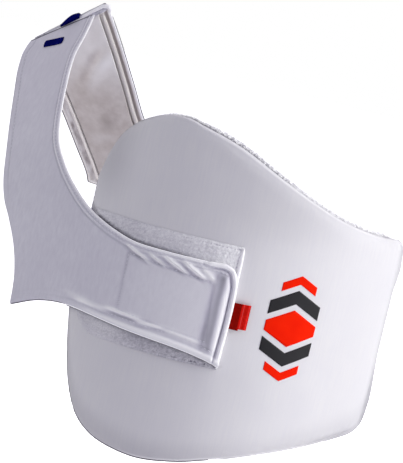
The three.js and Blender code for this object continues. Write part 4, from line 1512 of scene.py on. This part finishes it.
floor_mesh = bpy.data.meshes.new("floor")
floor_bm = bmesh.new()
bmesh.ops.create_grid(floor_bm, x_segments=1, y_segments=1, size=FLOOR_SIZE)
bmesh.ops.translate(floor_bm, vec=(0, 0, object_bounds()[0].z - FLOOR_DROP), verts=floor_bm.verts[:])
floor_bm.to_mesh(floor_mesh)
floor_bm.free()
floor = placed("floor", floor_mesh)
pale = bpy.data.materials.new("Pale studio floor")
pale.use_nodes = True
pale_shader = pale.node_tree.nodes["Principled BSDF"]
pale_shader.inputs["Base Color"].default_value = linear("#f4f4f6")
pale_shader.inputs["Roughness"].default_value = 0.9
pale_shader.inputs["Emission Color"].default_value = (1, 1, 1, 1)
pale_seen = add_node(pale.node_tree, "ShaderNodeLightPath").outputs["Is Camera Ray"]
pale.node_tree.links.new(pale_seen, pale_shader.inputs["Emission Strength"])
floor_mesh.materials.append(pale)

world = bpy.data.worlds.new("studio")
bpy.context.scene.world = world
world.use_nodes = True
world.node_tree.nodes.clear()
seen = add_node(world.node_tree, "ShaderNodeLightPath").outputs["Is Camera Ray"]
fill = add_node(world.node_tree, "ShaderNodeBackground", {"Color": (0.8, 0.775, 1.0, 1), "Strength": 0.37})
white = add_node(world.node_tree, "ShaderNodeBackground", {"Color": (1, 1, 1, 1), "Strength": 1.0})
both = add_node(world.node_tree, "ShaderNodeMixShader", {0: seen, 1: fill.outputs[0], 2: white.outputs[0]})
add_node(world.node_tree, "ShaderNodeOutputWorld", {"Surface": both.outputs[0]})

TARGET = Vector((0.164638, -0.005, -0.134763))
LIGHT_DISTANCE = 1.7


def way_from(azimuth, elevation):
    """The way from the target to an azimuth and elevation in degrees."""
    turn, rise = math.radians(azimuth), math.radians(elevation)
    return Vector((math.sin(turn) * math.cos(rise), -math.cos(turn) * math.cos(rise), math.sin(rise)))


def area_light(name, azimuth, elevation, size, energy, colour):
    """A soft round light that looks at the part from an azimuth and elevation."""
    away = way_from(azimuth, elevation)
    lamp = bpy.data.lights.new(name, "AREA")
    lamp.shape = "DISK"
    lamp.size = size
    lamp.energy = energy
    lamp.color = colour
    made = placed(name, lamp)
    made.location = TARGET + away * LIGHT_DISTANCE
    made.rotation_euler = away.to_track_quat("Z", "Y").to_euler()


area_light("key", 96, 20, 0.9, 21.5, (1.0, 1.0, 0.96))
area_light("right_side_fill", -60, 20, 0.9, 5.2, (0.97, 1.0, 0.83))
area_light("rear_fill", -120, 50, 1.0, 2.8, (1.0, 0.8, 0.9))
area_light("top", 60, 65, 1.0, 4.0, (1.0, 1.0, 1.0))

# Camera, as the photo was taken: from the part's front and a little above, turned about its line of sight
PHOTO_WIDTH = 403
SENSOR_WIDTH = 36
CAMERA_AZIMUTH = 20
CAMERA_ELEVATION = 8
CAMERA_ROLL = math.radians(13)
CAMERA_DISTANCE = 1.7
CAMERA_FOCAL_PIXELS = 2040
back_way = way_from(CAMERA_AZIMUTH, CAMERA_ELEVATION)
right_way = Vector((math.cos(math.radians(CAMERA_AZIMUTH)), math.sin(math.radians(CAMERA_AZIMUTH)), 0))
up_way = back_way.cross(right_way)
camera_x = right_way * math.cos(CAMERA_ROLL) + up_way * math.sin(CAMERA_ROLL)
camera_y = up_way * math.cos(CAMERA_ROLL) - right_way * math.sin(CAMERA_ROLL)
camera_data = bpy.data.cameras.new("camera")
camera_data.sensor_fit = "HORIZONTAL"
camera_data.sensor_width = SENSOR_WIDTH
camera_data.lens = SENSOR_WIDTH * CAMERA_FOCAL_PIXELS / PHOTO_WIDTH
camera = placed("camera", camera_data)
camera_turn = Matrix((camera_x, camera_y, back_way)).transposed().to_4x4()
camera.matrix_world = Matrix.Translation(TARGET + back_way * CAMERA_DISTANCE) @ camera_turn
bpy.context.scene.camera = camera
bpy.context.scene.view_settings.view_transform = "Standard"
